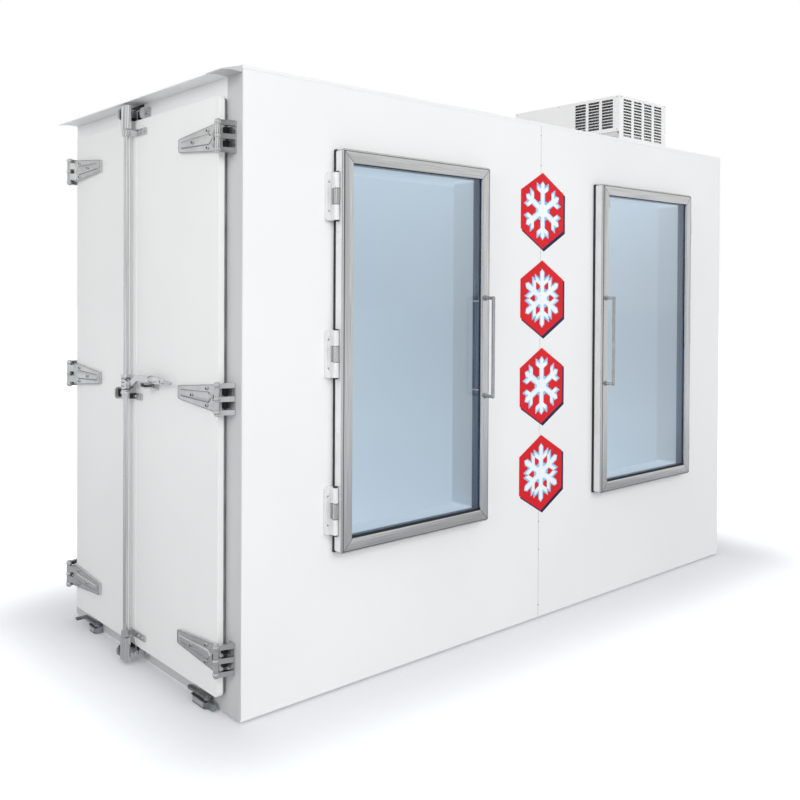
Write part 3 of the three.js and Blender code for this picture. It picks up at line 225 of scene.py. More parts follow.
def painted_panel():
    """White polyester paint, roller-coated on galvanised sheet: an even satin gloss with a fine orange peel,
    very slightly wavy over the foam. Inside the cabinet the same sheet is the cool liner, with a painted glow
    that stands in for the light of lamps inside."""
    made = Finish("painted_steel_panel", IOR=1.5, Emission_Color=linear("DFEBF7"))
    place = made.split(made.place)
    across = made.maths("ABSOLUTE", place[0])
    off_joint = made.maths("MAXIMUM", across, made.maths("ADD", place[1], 0.6))  # between the front panels
    # 1 on the sheet inside: within the outer faces, under the roof's skin, over the foot and off the joint.
    liner = 1.0
    for value, relation, bound in (
            (across, "LESS_THAN", -LEFT_FACE - 1.5), (made.maths("ABSOLUTE", place[1]), "LESS_THAN", -FRONT_FACE - 1.5),
            (place[2], "LESS_THAN", ROOF - 3.5), (place[2], "GREATER_THAN", 30.0), (off_joint, "GREATER_THAN", 5.0)):
        liner = made.maths("MULTIPLY", liner, made.maths(relation, value, bound * MM))
    outside = made.blend(made.spread(made.grain(1.3, 3.0)), shade("panel"), shade("panel_shade"))
    # On the liner the shader also glows: painted light that stands in for the cabinet's interior lamps.
    made.plug(Base_Color=made.blend(liner, outside, shade("liner")),
              Emission_Strength=made.maths("MULTIPLY", liner, liner_painted_glow(made, place)),
              Roughness=made.spread(made.grain(4.0), 0.30, 0.38))
    # Orange peel has cells of 2 to 3 mm, so about 300 in a metre.
    # The liner is smooth sheet: there the peel would only flicker through the glass.
    peel = made.maths("MULTIPLY_ADD", liner, -0.35, 0.35)
    made.bumps((made.grain(2.2, 1.0), 1.2, 0.25), (made.grain(300.0), 0.05, peel))
    return made.material


def frame_sheet():
    """Door frame lining: the same paint over folded galvanised sheet, a little greyer, with soft oil-canning."""
    made = Finish("painted_frame_sheet", IOR=1.5)
    place = made.split(made.place)
    # The header between the jambs is painted near white, painted light against the drip cap's shade, and the drip cap
    # above it a little duller.
    cap = made.maths("GREATER_THAN", place[2], (ROOF - 1.0) * MM)
    header = made.maths("MULTIPLY", made.maths("GREATER_THAN", place[1], (FRONT_FACE + 90.0) * MM),
                        made.maths("GREATER_THAN", place[2], (ROOF - 144.0) * MM))
    grey = made.blend(made.spread(made.grain(2.4, 3.0)), linear("C9C9C9"), linear("C1C1C2"))
    white = made.blend(cap, linear("F4F4F4"), linear("DADADB"))
    made.plug(Base_Color=made.blend(made.maths("MAXIMUM", header, cap), grey, white),
              Roughness=made.spread(made.grain(6.0), 0.30, 0.42))
    made.bumps((made.grain(3.0, 1.0), 1.5, 0.3), (made.grain(320.0), 0.05, 0.3))
    return made.material


def satin_frame():
    """Polished stainless section of the glass doors: grain runs along each rail and stile, the four mitres
    show as hairlines, and the long faces are slightly wavy so that reflections streak."""
    made = Finish("polished_stainless_section", Metallic=1.0)
    place = made.split(made.place)

    def inward(value, centre, half):
        """How far a place is in from the frame's outer edge, in metres."""
        away = made.maths("ABSOLUTE", made.maths("SUBTRACT", value, centre * MM))
        return made.maths("SUBTRACT", half * MM, away)

    from_side = inward(made.maths("ABSOLUTE", place[0]), DOOR_CENTRE, DOOR_WIDTH / 2)
    from_end = inward(place[2], (DOOR_LOW + DOOR_HIGH) / 2, (DOOR_HIGH - DOOR_LOW) / 2)
    apart = made.maths("SUBTRACT", from_side, from_end)
    stile = made.maths("LESS_THAN", apart, 0.0)

    def lengthwise(per_metre, detail, on_rail, on_stile):
        """Noise drawn out along the rails, and turned to run along the stiles."""
        level, upright = [made.grain(per_metre, detail, stretch) for stretch in (on_rail, on_stile)]
        return made.add("ShaderNodeMix", {"data_type": "FLOAT"}, {0: stile, 2: level, 3: upright})

    brushed = lengthwise(420.0, 3.0, (0.012, 1.0, 1.0), (1.0, 1.0, 0.012))
    wavy = lengthwise(7.0, 2.0, (0.8, 4.0, 4.0), (4.0, 4.0, 0.5))
    tone = made.blend(made.spread(brushed), shade("stainless"), linear("C4C5C6"))
    # A rolled groove 4 mm wide runs round the frame just inside its outer edge; it is drawn as a dark band of painted
    # shade.
    edge = made.maths("SUBTRACT", made.maths("MINIMUM", from_side, from_end), 0.0075)
    tone = made.blend(made.maths("LESS_THAN", made.maths("ABSOLUTE", edge), 0.002), tone, linear("8A8C8E"))
    # The mitre is a hairline; it is drawn 2.4 mm wide so that it shows.
    mitre = made.maths("LESS_THAN", made.maths("ABSOLUTE", apart), 0.0012)
    made.plug(Base_Color=made.blend(mitre, tone, linear("4A4C4E")), Roughness=made.spread(brushed, 0.16, 0.27))
    made.bumps((wavy, 3.0, 0.5), (brushed, 0.02, 0.5))
    return made.material


def clear_pane():
    """Heated low-e glass: clear with a cold cast, its coating and a breath of frost seen as faint clouds."""
    made = Finish("low_e_glass", IOR=1.5, Transmission_Weight=1.0, Base_Color=shade("glass"))
    made.plug(Roughness=made.spread(made.grain(3.0, 4.0), 0.0, 0.03))
    return made.material


def coil_fins():
    """Pressed aluminium fins on a coil: upright bands 2 mm apart in life, drawn at 4 mm so that they show.
    The dark bands are painted shade in the gaps between the fins.
    """
    made = Finish("aluminium_coil_fins", Metallic=0.9)
    fins_and_gap_shade = made.add("ShaderNodeTexWave", {"wave_type": "BANDS", "bands_direction": "Y"},
                     {"Vector": made.place, "Scale": 78.0, "Distortion": 0.4, "Detail": 1.0})
    made.plug(Base_Color=made.blend(fins_and_gap_shade, linear("5C6064"), linear("B4B8BB")),
              Roughness=made.spread(made.grain(40.0), 0.35, 0.5))
    made.bumps((fins_and_gap_shade, 0.8, 0.7))
    return made.material


def mottled(name, sockets, mottle, colours, rough, *layers, dulled=None):
    """A finish whose colour drifts between two shades in a noise. Its roughness follows that noise, or one of
    its own, and a layer of bumps whose noise is None takes the mottle too."""
    made = Finish(name, **sockets)
    patches = made.grain(*mottle)
    made.plug(Base_Color=made.blend(made.spread(patches), *map(shade, colours)),
              Roughness=made.spread(made.grain(*dulled) if dulled else patches, *rough))
    made.bumps(*[(made.grain(*noise) if noise else patches, *rest) for noise, *rest in layers])
    return made.material


def vinyl(name, colours):
    """Cut sign vinyl: an even semi-gloss film, its colour very slightly uneven, with a faint stretch texture."""
    return mottled(name, {"IOR": 1.36}, (9.0, 3.0), colours, (0.28, 0.36), ((220.0,), 0.03, 0.3))


FINISHES = {
    "panel": painted_panel, "frame_sheet": frame_sheet, "satin": satin_frame, "glass": clear_pane, "fins": coil_fins,
    # The loading doors' sheet: the same white paint on a flatter, thicker skin, a shade greyer and duller.
    "door_skin": lambda: mottled("painted_door_skin", {"IOR": 1.5}, (1.8, 3.0), ("door", "door_shade"), (0.33, 0.42),
                                 ((2.6, 1.0), 1.0, 0.2), ((320.0,), 0.05, 0.3), dulled=(5.0,)),
    # Zinc die casting under white stoved paint: smooth and glossy, very slightly swollen at its edges.
    "casting": lambda: mottled("white_painted_casting", {"IOR": 1.5}, (9.0, 3.0), ("E6E6E6", "DBDCDC"), (0.18, 0.28),
                               ((60.0, 1.0), 0.15, 0.3), dulled=(14.0,)),
    # Zinc die casting, tumbled bright. Its pits of about half a millimetre are drawn at 1.2 mm so that they show.
    "zinc": lambda: mottled("zinc_die_casting", {"Metallic": 1.0}, (12.0, 3.0), ("zinc", "CACBCC"), (0.20, 0.30),
                            ((40.0, 1.0), 0.3, 0.35), ((800.0,), 0.03, 0.25)),
    # Chrome on drawn steel tube: mirror-like with lengthwise draw marks.
    "chrome": lambda: mottled("chromed_steel_tube", {"Metallic": 1.0}, (240.0, 3.0, (1.0, 1.0, 0.015)),
                              ("chrome", "CACCCE"), (0.13, 0.24), (None, 0.03, 0.6)),
    # Polished stainless pulls, screws and hinge plates: bright, with a short random polish grain.
    "bright": lambda: mottled("polished_stainless_fitting", {"Metallic": 1.0}, (160.0, 3.0, (1.0, 1.0, 0.2)),
                              ("C2C3C4", "ACAEB0"), (0.18, 0.26), (None, 0.02, 0.4)),
    # Malleable iron casting, zinc-phosphated dark: coarse sand-cast skin, worn paler on the high spots.
    "iron": lambda: mottled("phosphated_iron_casting", {"Metallic": 0.75}, (34.0, 4.0), ("cast", "A6A9AB"),
                            (0.32, 0.5), ((420.0, 3.0), 0.12, 0.6)),
    # Extruded EPDM seal: near black, matt with a faint bloom that greys it in patches.
    "rubber": lambda: mottled("epdm_seal_rubber", {"IOR": 1.52}, (30.0, 4.0), ("1B1D20", "2B2E31"), (0.55, 0.75),
                              ((600.0,), 0.05, 0.5)),
    # Soft grey PVC seal of the loading doors: matt, with handling grime along it.
    "seal": lambda: mottled("grey_pvc_seal", {"IOR": 1.53}, (14.0, 4.0), ("8C8F92", "6F7275"), (0.5, 0.7),
                            ((500.0,), 0.05, 0.4)),
    # Warm-edge spacer and glazing channel: blue-grey plastic with a row of fine grooves.
    "spacer": lambda: mottled("glazing_spacer_plastic", {"IOR": 1.5}, (30.0, 2.0, (1.0, 8.0, 0.2)),
                              ("spacer", "5E7C9C"), (0.25, 0.4), (None, 0.3, 0.5)),
    # Black stoved enamel on pressed steel: fan shrouds, motor and compressor, dusty on top.
    "enamel": lambda: mottled("stoved_black_enamel", {"IOR": 1.5}, (14.0, 5.0), ("1E2023", "3A3D40"), (0.30, 0.55),
                              ((260.0,), 0.06, 0.4)),
    # Drawn copper pipe, gone brown where it has been brazed.
    "copper": lambda: mottled("drawn_copper_pipe", {"Metallic": 1.0}, (18.0, 4.0), ("C98A63", "7E5038"),
                              (0.25, 0.45)),
    "red_vinyl": lambda: vinyl("red_sign_vinyl", ("badge_red", "D30918")),
    "navy_vinyl": lambda: vinyl("navy_sign_vinyl", ("badge_navy", "151C50")),
    "white_vinyl": lambda: vinyl("white_sign_vinyl", ("F6F9FB", "EAF2F8")),
    "blue_vinyl": lambda: vinyl("pale_blue_sign_vinyl", ("7CC4EE", "9AD4F4")),
}
made_finishes = {}


def finish(name):
    """The named material, made the first time it is asked for."""
    if name not in made_finishes:
        made_finishes[name] = FINISHES[name]()
    return made_finishes[name]


# Which finish each solid takes and the width of its softened edges in mm, by the start of the node's name.
NODE_FINISHES = (
    ("floor_panel", "panel", 0.0), ("roof_panel", "panel", 1.0), ("front_panel", "panel", 0.8),
    ("rear_panel", "panel", 0.8), ("right_end_panel", "panel", 0.8), ("end_door_frame", "frame_sheet", 0.8),
    ("drip_cap", "frame_sheet", 1.0), ("end_door_front_gasket", "seal", 0.8), ("end_door_rear_gasket", "seal", 0.8),
    ("end_door_", "door_skin", 2.0), ("strap_", "zinc", 1.2), ("lock_rod", "chrome", 0.8),
    ("lock_handle", "chrome", 1.6), ("rod_guide", "zinc", 1.2), ("handle_catch", "zinc", 1.0),
    ("keeper", "zinc", 1.4), ("base_", "iron", 1.2), ("glass_hinge", "casting", 1.8),
    ("unit_housing", "panel", 0.0), ("unit_tray", "frame_sheet", 0.8), ("condenser_coil", "fins", 0.0),
    ("fan_shroud", "enamel", 0.6), ("fan_motor", "enamel", 1.2), ("compressor", "enamel", 1.0),
    ("evaporator_case", "panel", 0.8), ("condenser_fan", "enamel", 0.4), ("evaporator_fan", "enamel", 0.3),
)
DOOR_FINISHES = {
    "frame": ("satin", 1.2), "glass": ("glass", 0.0), "gasket": ("rubber", 0.8), "handle": ("bright", 1.0)}


# ---------------------------------------------------------------- shapes

BEVEL = {
    "offset_type": "OFFSET", "segments": 2, "profile": 0.5, "affect": "EDGES", "clamp_overlap": True, "material": -1}


def edges_of(verts):
    """The edges that meet at these corners."""
    return {edge for vert in verts for edge in vert.link_edges}


def box(bm, low, high, soft=0.0):
    """A block between two corners, with its edges rounded by soft."""
    made = bmesh.ops.create_cube(bm, size=1.0)["verts"]
    bmesh.ops.scale(bm, vec=[b - a for a, b in zip(low, high)], verts=made)
    bmesh.ops.translate(bm, vec=[(a + b) / 2 for a, b in zip(low, high)], verts=made)
    if soft:
        bmesh.ops.bevel(bm, geom=list(edges_of(made)), offset=soft, **BEVEL)


def peg(bm, axis, radius, start, end, at, sides=20, tip=None, soft=0.0):
    """A round bar along "y" or "z"; at is its place on the other two axes, tip its radius at the end."""
    made = bmesh.ops.create_cone(bm, cap_ends=True, segments=sides, radius1=radius,
                                 radius2=radius if tip is None else tip, depth=end - start)["verts"]
    middle = (start + end) / 2
    turn, place = {
        "y": (Matrix.Rotation(-math.pi / 2, 3, "X"), (at[0], middle, at[1])),
        "z": (Matrix.Identity(3), (*at, middle)),
    }[axis]
    if soft:
        rims = [edge for edge in edges_of(made) if any(len(face.verts) > 4 for face in edge.link_faces)]
        kept = {vert for edge in rims for vert in edge.verts}
        made = [vert for vert in made if vert not in kept]
        made += bmesh.ops.bevel(bm, geom=rims, offset=soft, **BEVEL)["verts"]
        made = list({vert for vert in made if vert.is_valid})
    bmesh.ops.rotate(bm, cent=(0, 0, 0), matrix=turn, verts=made)
    bmesh.ops.translate(bm, vec=place, verts=made)


def ball(bm, radii, at, rings=8):
    """A sphere squashed to three radii."""
    made = bmesh.ops.create_uvsphere(bm, u_segments=2 * rings, v_segments=rings, radius=1.0)["verts"]
    bmesh.ops.scale(bm, vec=radii, verts=made)
    bmesh.ops.translate(bm, vec=at, verts=made)


def draw_out(bm, faces, depth):
    """Gives flat faces of the wall's plane a depth away from it."""
    drawn = bmesh.ops.extrude_face_region(bm, geom=faces, use_keep_orig=True)["geom"]
    moved = [part for part in drawn if isinstance(part, bmesh.types.BMVert)]
    bmesh.ops.translate(bm, vec=(0, depth, 0), verts=moved)


def plate(bm, outline, near, far):
    """A flat outline in the wall's plane, from near to far proud of the wall."""
    draw_out(bm, [bm.faces.new([bm.verts.new((a, near, b)) for a, b in outline])], far - near)


def border(bm, low, high, width, near, far):
    """A flat rectangular ring in the wall's plane, from near to far proud of the wall."""
    outer, inner = [[bm.verts.new((low[0] + a * inset + (1 - a) / 2 * (high[0] - low[0]), near,
                                   low[1] + b * inset + (1 - b) / 2 * (high[1] - low[1])))
                     for a, b in ((1, 1), (-1, 1), (-1, -1), (1, -1))] for inset in (0.0, width)]
    draw_out(bm, [bm.faces.new((outer[k], outer[k - 3], inner[k - 3], inner[k])) for k in range(4)], far - near)


def wire(bm, points, radius, sides=2, closed=False):
    """Round wire along points: a curve with a round section, taken over as a mesh."""
    curve = bpy.data.curves.new("wire_path", "CURVE")
    curve.dimensions = "3D"
    curve.bevel_depth, curve.bevel_resolution, curve.use_fill_caps = radius, sides, True
    spline = curve.splines.new("POLY")
    spline.points.add(len(points) - 1)
    for point, place in zip(spline.points, points):
        point.co = (*place, 1.0)
    spline.use_cyclic_u = closed
    holder = bpy.data.objects.new("wire_path", curve)
    mesh = bpy.data.meshes.new_from_object(holder)
    bm.from_mesh(mesh)
    bpy.data.objects.remove(holder)
    bpy.data.curves.remove(curve)
    bpy.data.meshes.remove(mesh)


def around(centre, radius, plane, turn):
    """The place at that turn, in radians, round a centre, in the plane of two axes such as "xz"."""
    place = list(centre)
    place["xyz".index(plane[0])] += radius * math.cos(turn)
    place["xyz".index(plane[1])] += radius * math.sin(turn)
    return place


def circle(centre, radius, plane, count):
    """Points round a circle."""
    return [around(centre, radius, plane, 2 * math.pi * k / count) for k in range(count)]


def guard(name, centre, plane, radii, count, thickness, spokes, ends, spoke_thickness):
    """A fan guard of wire rings with straight spokes across them."""
    bm = bmesh.new()
    for radius in radii:
        wire(bm, circle(centre, radius, plane, count), thickness, 1, True)
    for k in range(spokes):
        wire(bm, [around(centre, end, plane, 2 * math.pi * k / spokes) for end in ends], spoke_thickness, 1)
    settle(name, bm, WORLD, "cabinet", "bright")


def bolt(bm, along, proud, height, radius):
    """A domed bolt head with its washer, standing off a wall face."""
    peg(bm, "y", radius * 1.25, proud - 0.6, proud + 0.8, (along, height), 16)
    peg(bm, "y", radius, proud + 0.5, proud + 2.2, (along, height), 16)
    ball(bm, (radius, 2.6, radius), (along, proud + 2.0, height), 6)


def settle(name, bm, place, body, material, smooth=40.0):
    """Turns the shapes into a piece in metres that rides on a body and takes a finish."""
    bmesh.ops.transform(bm, matrix=place, verts=bm.verts)
    bmesh.ops.recalc_face_normals(bm, faces=bm.faces)
    mesh = bpy.data.meshes.new(name)
    bm.to_mesh(mesh)
    bm.free()
    mesh.shade_smooth()
    mesh.set_sharp_from_angle(angle=math.radians(smooth))
    mesh.materials.append(finish(material))
    piece = bpy.data.objects.new(name, mesh)
    bpy.context.scene.collection.objects.link(piece)
    level_faces(piece)
    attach(piece, body)
    return piece


# ---------------------------------------------------------------- settings

def colour(name, description, code):
    """A colour that can be changed, from a hex colour."""
    return bpy.props.FloatVectorProperty(
        name=name, description=description, subtype="COLOR", size=4, default=linear(code))


def length(name, description, default):
    """A length that can be changed, in metres."""
    return bpy.props.FloatProperty(
        name=name, description=description, default=default, unit="LENGTH", subtype="DISTANCE")


class FreezerColours(bpy.types.PropertyGroup):
    """Colours of the finishes."""
    panel: colour("Panel white", "Paint on the cabinet's panels", "F1F1F1")
    panel_shade: colour("Panel shade", "Paint where it varies", "EDEDED")
    liner: colour("Liner", "Sheet inside the cabinet", "AEB4B9")
    door: colour("Loading door", "Paint on the loading doors", "EDEDEC")
    door_shade: colour("Loading door shade", "Door paint where it varies", "E9E9E8")
    zinc: colour("Zinc", "Hinges, guides and keepers", "DADBDB")
    chrome: colour("Chrome", "Lock rod and handle", "E6E7E8")
    stainless: colour("Stainless", "Glass door frames", "DCDCDC")
    cast: colour("Cast iron", "Base latches", "7B7E81")
    glass: colour("Glass", "Cast of the panes", "F2F6F8")
    spacer: colour("Spacer", "Edge spacer of the glazing", "3A5476")
    badge_red: colour("Badge red", "Field of the ice badges", "DE0B1C")
    badge_navy: colour("Badge navy", "Edge of the ice badges", "0D1440")


class FreezerSizes(bpy.types.PropertyGroup):
    """Sizes of the added fittings, in metres."""
    bolt_radius: length("Bolt radius", "Heads on the hinges and guides", 0.0065)
    badge_height: length("Badge height", "One ice badge, point to point", 0.330)
    badge_gap: length("Badge gap", "Between two badges", 0.046)
    badge_base: length("Badge base", "Lowest point of the badges", 0.465)
    badge_count: bpy.props.IntProperty(name="Badges", description="Number of ice badges", default=4, min=1)
    pane_thickness: length("Pane", "Thickness of one pane", 0.004)
    guard_wire: length("Guard wire", "Radius of the fan guards' wire", 0.0013)


# ---------------------------------------------------------------- finishes on the solids

SHARP = math.radians(50)  # edges that turn more than this stay crisp


def soften(node, width):
    """Joins a solid's loose triangles and rounds its edges, as modifiers over the unchanged mesh."""
    node.modifiers.new("joined_corners", "WELD").merge_threshold = 1e-5
    bevel = node.modifiers.new("softened_edges", "BEVEL")
    bevel.width, bevel.segments, bevel.limit_method = width * MM, 2, "ANGLE"
    bevel.angle_limit, bevel.use_clamp_overlap, bevel.harden_normals = SHARP, True, False
    node.modifiers.new("even_shading", "NODES").node_group = shading_group()
    level_faces(node)


def level_faces(thing):
    """Turns the corners' normals to the broad faces, so that flat sheet shades flat beside its soft edges."""
    normals = thing.modifiers.new("level_faces", "WEIGHTED_NORMAL")
    normals.mode, normals.weight, normals.keep_sharp = "FACE_AREA", 50, True


def shading_group():
    """Geometry nodes that shade faces smooth except across sharp edges."""
    name = "even_shading"
    if name in bpy.data.node_groups:
        return bpy.data.node_groups[name]
    group = bpy.data.node_groups.new(name, "GeometryNodeTree")
    for direction in ("INPUT", "OUTPUT"):
        group.interface.new_socket("Geometry", in_out=direction, socket_type="NodeSocketGeometry")
    nodes = Nodes(group)
    plain = nodes.add("GeometryNodeRemoveAttribute", None,
                      {"Geometry": nodes.add("NodeGroupInput"), "Name": "custom_normal"})
    smooth = nodes.add("FunctionNodeCompare", {"data_type": "FLOAT", "operation": "LESS_THAN"},
                       {0: nodes.add("GeometryNodeInputMeshEdgeAngle"), 1: SHARP})
    faces = nodes.add("GeometryNodeSetShadeSmooth", {"domain": "FACE"}, {"Geometry": plain})
    edges = nodes.add("GeometryNodeSetShadeSmooth", {"domain": "EDGE"}, {"Geometry": faces, "Shade Smooth": smooth})
    nodes.add("NodeGroupOutput", None, {0: edges})
    return group


class FREEZER_OT_finishes(bpy.types.Operator):
    """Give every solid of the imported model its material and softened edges"""
    bl_idname = "freezer.finishes"
    bl_label = "Finishes"

    def execute(self, context):
        for name, node in frame["nodes"].items():
            if name.startswith("glass_door"):
                kind, width = DOOR_FINISHES[name.rsplit("_", 1)[1]]
            else:
                _, kind, width = next(row for row in NODE_FINISHES if name.startswith(row[0]))
            for held in node.material_slots:
                held.material = finish(kind)
            if width:
                soften(node, width)
        return {"FINISHED"}


# ---------------------------------------------------------------- pieces

class FREEZER_OT_strap_dressing(bpy.types.Operator):
    """Bolts of the six strap hinges with dark wires and patches of painted shade, the round lugs on their pins, and
    blocks of painted shade in their pockets
    """
    bl_idname = "freezer.strap_dressing"
    bl_label = "Strap hinge dressing"

    def execute(self, context):
        radius = context.scene.freezer_sizes.bolt_radius / MM
        lugs, pocket_shade_black, pocket_shade_grey = bmesh.new(), bmesh.new(), bmesh.new()
        for leaf, (pin, side) in HINGE_PIN.items():
            seams, bolts, sockets = bmesh.new(), bmesh.new(), bmesh.new()
            for height in HINGE_HEIGHTS:
                self.seams(seams, pin, side, height)
                for reach, rise, face in ((176, 0, STRAP_RIB), (82, 28, STRAP_FACE), (82, -28, STRAP_FACE)):
                    bolt(bolts, pin + side * reach, face, height + rise, radius)
                    # A dark disc on each bolt head: painted shade for its socket.
                    peg(sockets, "y", 4.4, face + 3.5, face + 4.9, (pin + side * reach, height + rise), 6)
                if leaf == "front":  # a dark patch of painted shade for a notch beside the knuckles
                    self.block(sockets, pin, side, (34, STRAP_FACE - 0.4, height - 9.5),
                               (43, STRAP_FACE + 0.3, height + 9.5))
                for level in (-LUG_PITCH, 0, LUG_PITCH):
                    ball(lugs, (12.2, 12.2, 8.8), (pin, PIN_PROUD, height + level), 10)
                for end in (-1, 1):
                    middle = height + end * LUG_PITCH / 2
                    ball(lugs, (8.6, 8.6, 6.0), (pin, PIN_PROUD, height + end * (LUG_PITCH + 7)), 8)
                    # Behind the window, blocks of painted shade: black beside the leaf's edge, dark grey on the
                    # bracket's base.
                    self.block(pocket_shade_black, pin, side, (16, 5.5, middle - 13.3), (28, 21, middle + 13.3))
                    self.block(pocket_shade_grey, pin, side, (-8, 5.2, middle - 13.3), (14, 6.0, middle + 13.3))
            body = f"end_door_{leaf}_leaf"
            settle(f"strap_rims_{leaf}", seams, END, body, "iron", 60)
            settle(f"strap_bolts_{leaf}", bolts, END, body, "zinc")
            settle(f"strap_sockets_{leaf}", sockets, END, body, "enamel")
        settle("hinge_lugs", lugs, END, "cabinet", "zinc", 60)
        settle("hinge_pocket_backs", pocket_shade_black, END, "cabinet", "rubber")
        settle("hinge_pocket_pads", pocket_shade_grey, END, "cabinet", "iron")
        return {"FINISHED"}

    @staticmethod
    def block(bm, pin, side, low, high):
        """A block whose reach is measured from the pin towards the leaf."""
        near, far = sorted((pin + side * low[0], pin + side * high[0]))
        box(bm, (near, *low[1:]), (far, *high[1:]))

    @staticmethod
    def seams(bm, pin, side, height):
        """Dark wires of painted shade: along the strap's rolled edge, and at the foot of the raised panel, deeper on
        its lower side.
        """
        edge, foot = ((40, 43.2), (60, 41.6), (272, 22.8), (281, 17)), ((72, 17.6), (258, 11.2))
        tip = [(281, rise) for rise in (-17, 0, 17)]
        for line, sign, face, radius in (
                (edge, -1, STRAP_FACE - 0.2, 1.1), (edge, 1, STRAP_FACE - 0.2, 1.1), (tip, 1, STRAP_FACE - 0.2, 1.1),
                (foot, 1, STRAP_FACE, 0.9), (foot, -1, STRAP_FACE, 1.9)):
            wire(bm, [(pin + side * reach, face, height + sign * rise) for reach, rise in line], radius)


class FREEZER_OT_lock_dressing(bpy.types.Operator):
    """Bolts, collars and swells of the lock rod, its guides, its keepers and its handle, with dark rings and blocks of
    painted shade in their grooves and gaps
    """
    bl_idname = "freezer.lock_dressing"
    bl_label = "Lock rod dressing"

    def execute(self, context):
        radius = context.scene.freezer_sizes.bolt_radius / MM
        self.fittings(radius)

        rod = bmesh.new()
        for low in (HUB_CENTRE - 38, HUB_CENTRE + 24):
            peg(rod, "z", 19.0, low, low + 12, (ROD_ALONG, ROD_PROUD), 28, soft=2.0)
        for low, high in ((2012, 2090), (20, 98)):  # beads down the cam castings
            wire(rod, [(ROD_ALONG, ROD_PROUD + 9.0, height) for height in (low, high)], 1.6)
        for end in (2096, 14):
            peg(rod, "z", 12.5, end - 3, end + 3, (ROD_ALONG, ROD_PROUD), 24, soft=1.5)
        pivot = (HANDLE_PIVOT, HUB_CENTRE)
        peg(rod, "y", 9.0, ROD_PROUD + 12.4, ROD_PROUD + 16, pivot, 6)
        peg(rod, "y", 4.5, ROD_PROUD + 15.5, ROD_PROUD + 18.8, pivot, 14, soft=0.8)
        peg(rod, "y", 9.0, ROD_PROUD - 17, ROD_PROUD - 12.4, pivot, 6)
        settle("rod_collars", rod, END, "rod", "chrome", 50)

        # Dark rings round the hub: painted shade in its grooves.
        rings = bmesh.new()
        for height in (HUB_CENTRE - 20, HUB_CENTRE - 7, HUB_CENTRE + 7, HUB_CENTRE + 20):
            peg(rings, "z", 17.7, height - 1.1, height + 1.1, (ROD_ALONG, ROD_PROUD), 28)
        settle("hub_grooves", rings, END, "rod", "enamel")

        # The grip swells in the palm, and its end has a bead and a round tip.
        grip = bmesh.new()
        ball(grip, (52.0, 9.5, 15.5), (HANDLE_PIVOT - 188, ROD_PROUD, HUB_CENTRE + 32), 12)
        ball(grip, (7.0, 7.0, 7.0), (HANDLE_PIVOT - 316, ROD_PROUD, HUB_CENTRE + 30), 8)
        ball(grip, (10.5, 10.5, 10.5), (HANDLE_PIVOT - 265, ROD_PROUD, HUB_CENTRE + 30), 10)
        settle("handle_swell", grip, END, "handle", "chrome", 60)
        return {"FINISHED"}

    @staticmethod
    def fittings(radius):
        """Bolts of the guides, the catch and the keepers, and black blocks of painted shade where the rod and grip rest
        and by the cams.
        """
        front, rear = "end_door_front_leaf", "end_door_rear_leaf"
        bolts = bmesh.new()
        for height, reach in ((1994.5, 108), (HUB_CENTRE - 45.5, 77.8), (115.5, 108)):
            for step in (14, 48):
                bolt(bolts, ROD_ALONG - reach + step, GUIDE_FACE, height, radius * 0.8)
        for along, height in ((507, 1086), (557, 1086), (507, 1056), (557, 1056)):
            bolt(bolts, along, GUIDE_FACE, height, radius * 0.75)
        settle("guide_bolts", bolts, END, front, "zinc")

        # Black blocks of painted shade: under the resting grip, beside the rod in the middle guide, and in the rear
        # leaf's ear.
        catch_shade_blocks = bmesh.new()
        box(catch_shade_blocks, (519, 42.0, 1059), (545, 84.6, 1072.5), 1.5)
        box(catch_shade_blocks, (ROD_ALONG - 12.9, 42.0, 999), (ROD_ALONG - 11.9, 60.0, 1020))
        settle("catch_lining", catch_shade_blocks, END, front, "rubber")
        lip = bmesh.new()
        box(lip, (521, 44.0, 1052), (543, 81.0, 1059), 2.0)
        settle("catch_lip", lip, END, front, "zinc")
        ear_gap_shade = bmesh.new()
        box(ear_gap_shade, (ROD_ALONG + 50.4, 47.0, 1002), (ROD_ALONG + 51.2, 73.0, 1032))
        settle("ear_lining", ear_gap_shade, END, rear, "rubber")
        stay = bmesh.new()
        bolt(stay, ROD_ALONG + 84, 40.3, HUB_CENTRE - 38, radius * 0.8)
        settle("middle_keeper_bolt", stay, END, rear, "zinc")

        keepers, cam_gap_shade = bmesh.new(), bmesh.new()
        for height in KEEPER_HEIGHTS:
            for side in (-58, 58):
                bolt(keepers, ROD_ALONG + side, 5.3, height, radius * 0.85)
            # A thin black sheet beside each cam: painted shade for the gap there.
            box(cam_gap_shade, (ROD_ALONG + 37.2, 8.0, height - 19), (ROD_ALONG + 38.2, 44.0, height + 19))
        settle("keeper_bolts", keepers, END, "cabinet", "zinc")
        settle("keeper_wear_strips", cam_gap_shade, END, "cabinet", "rubber")


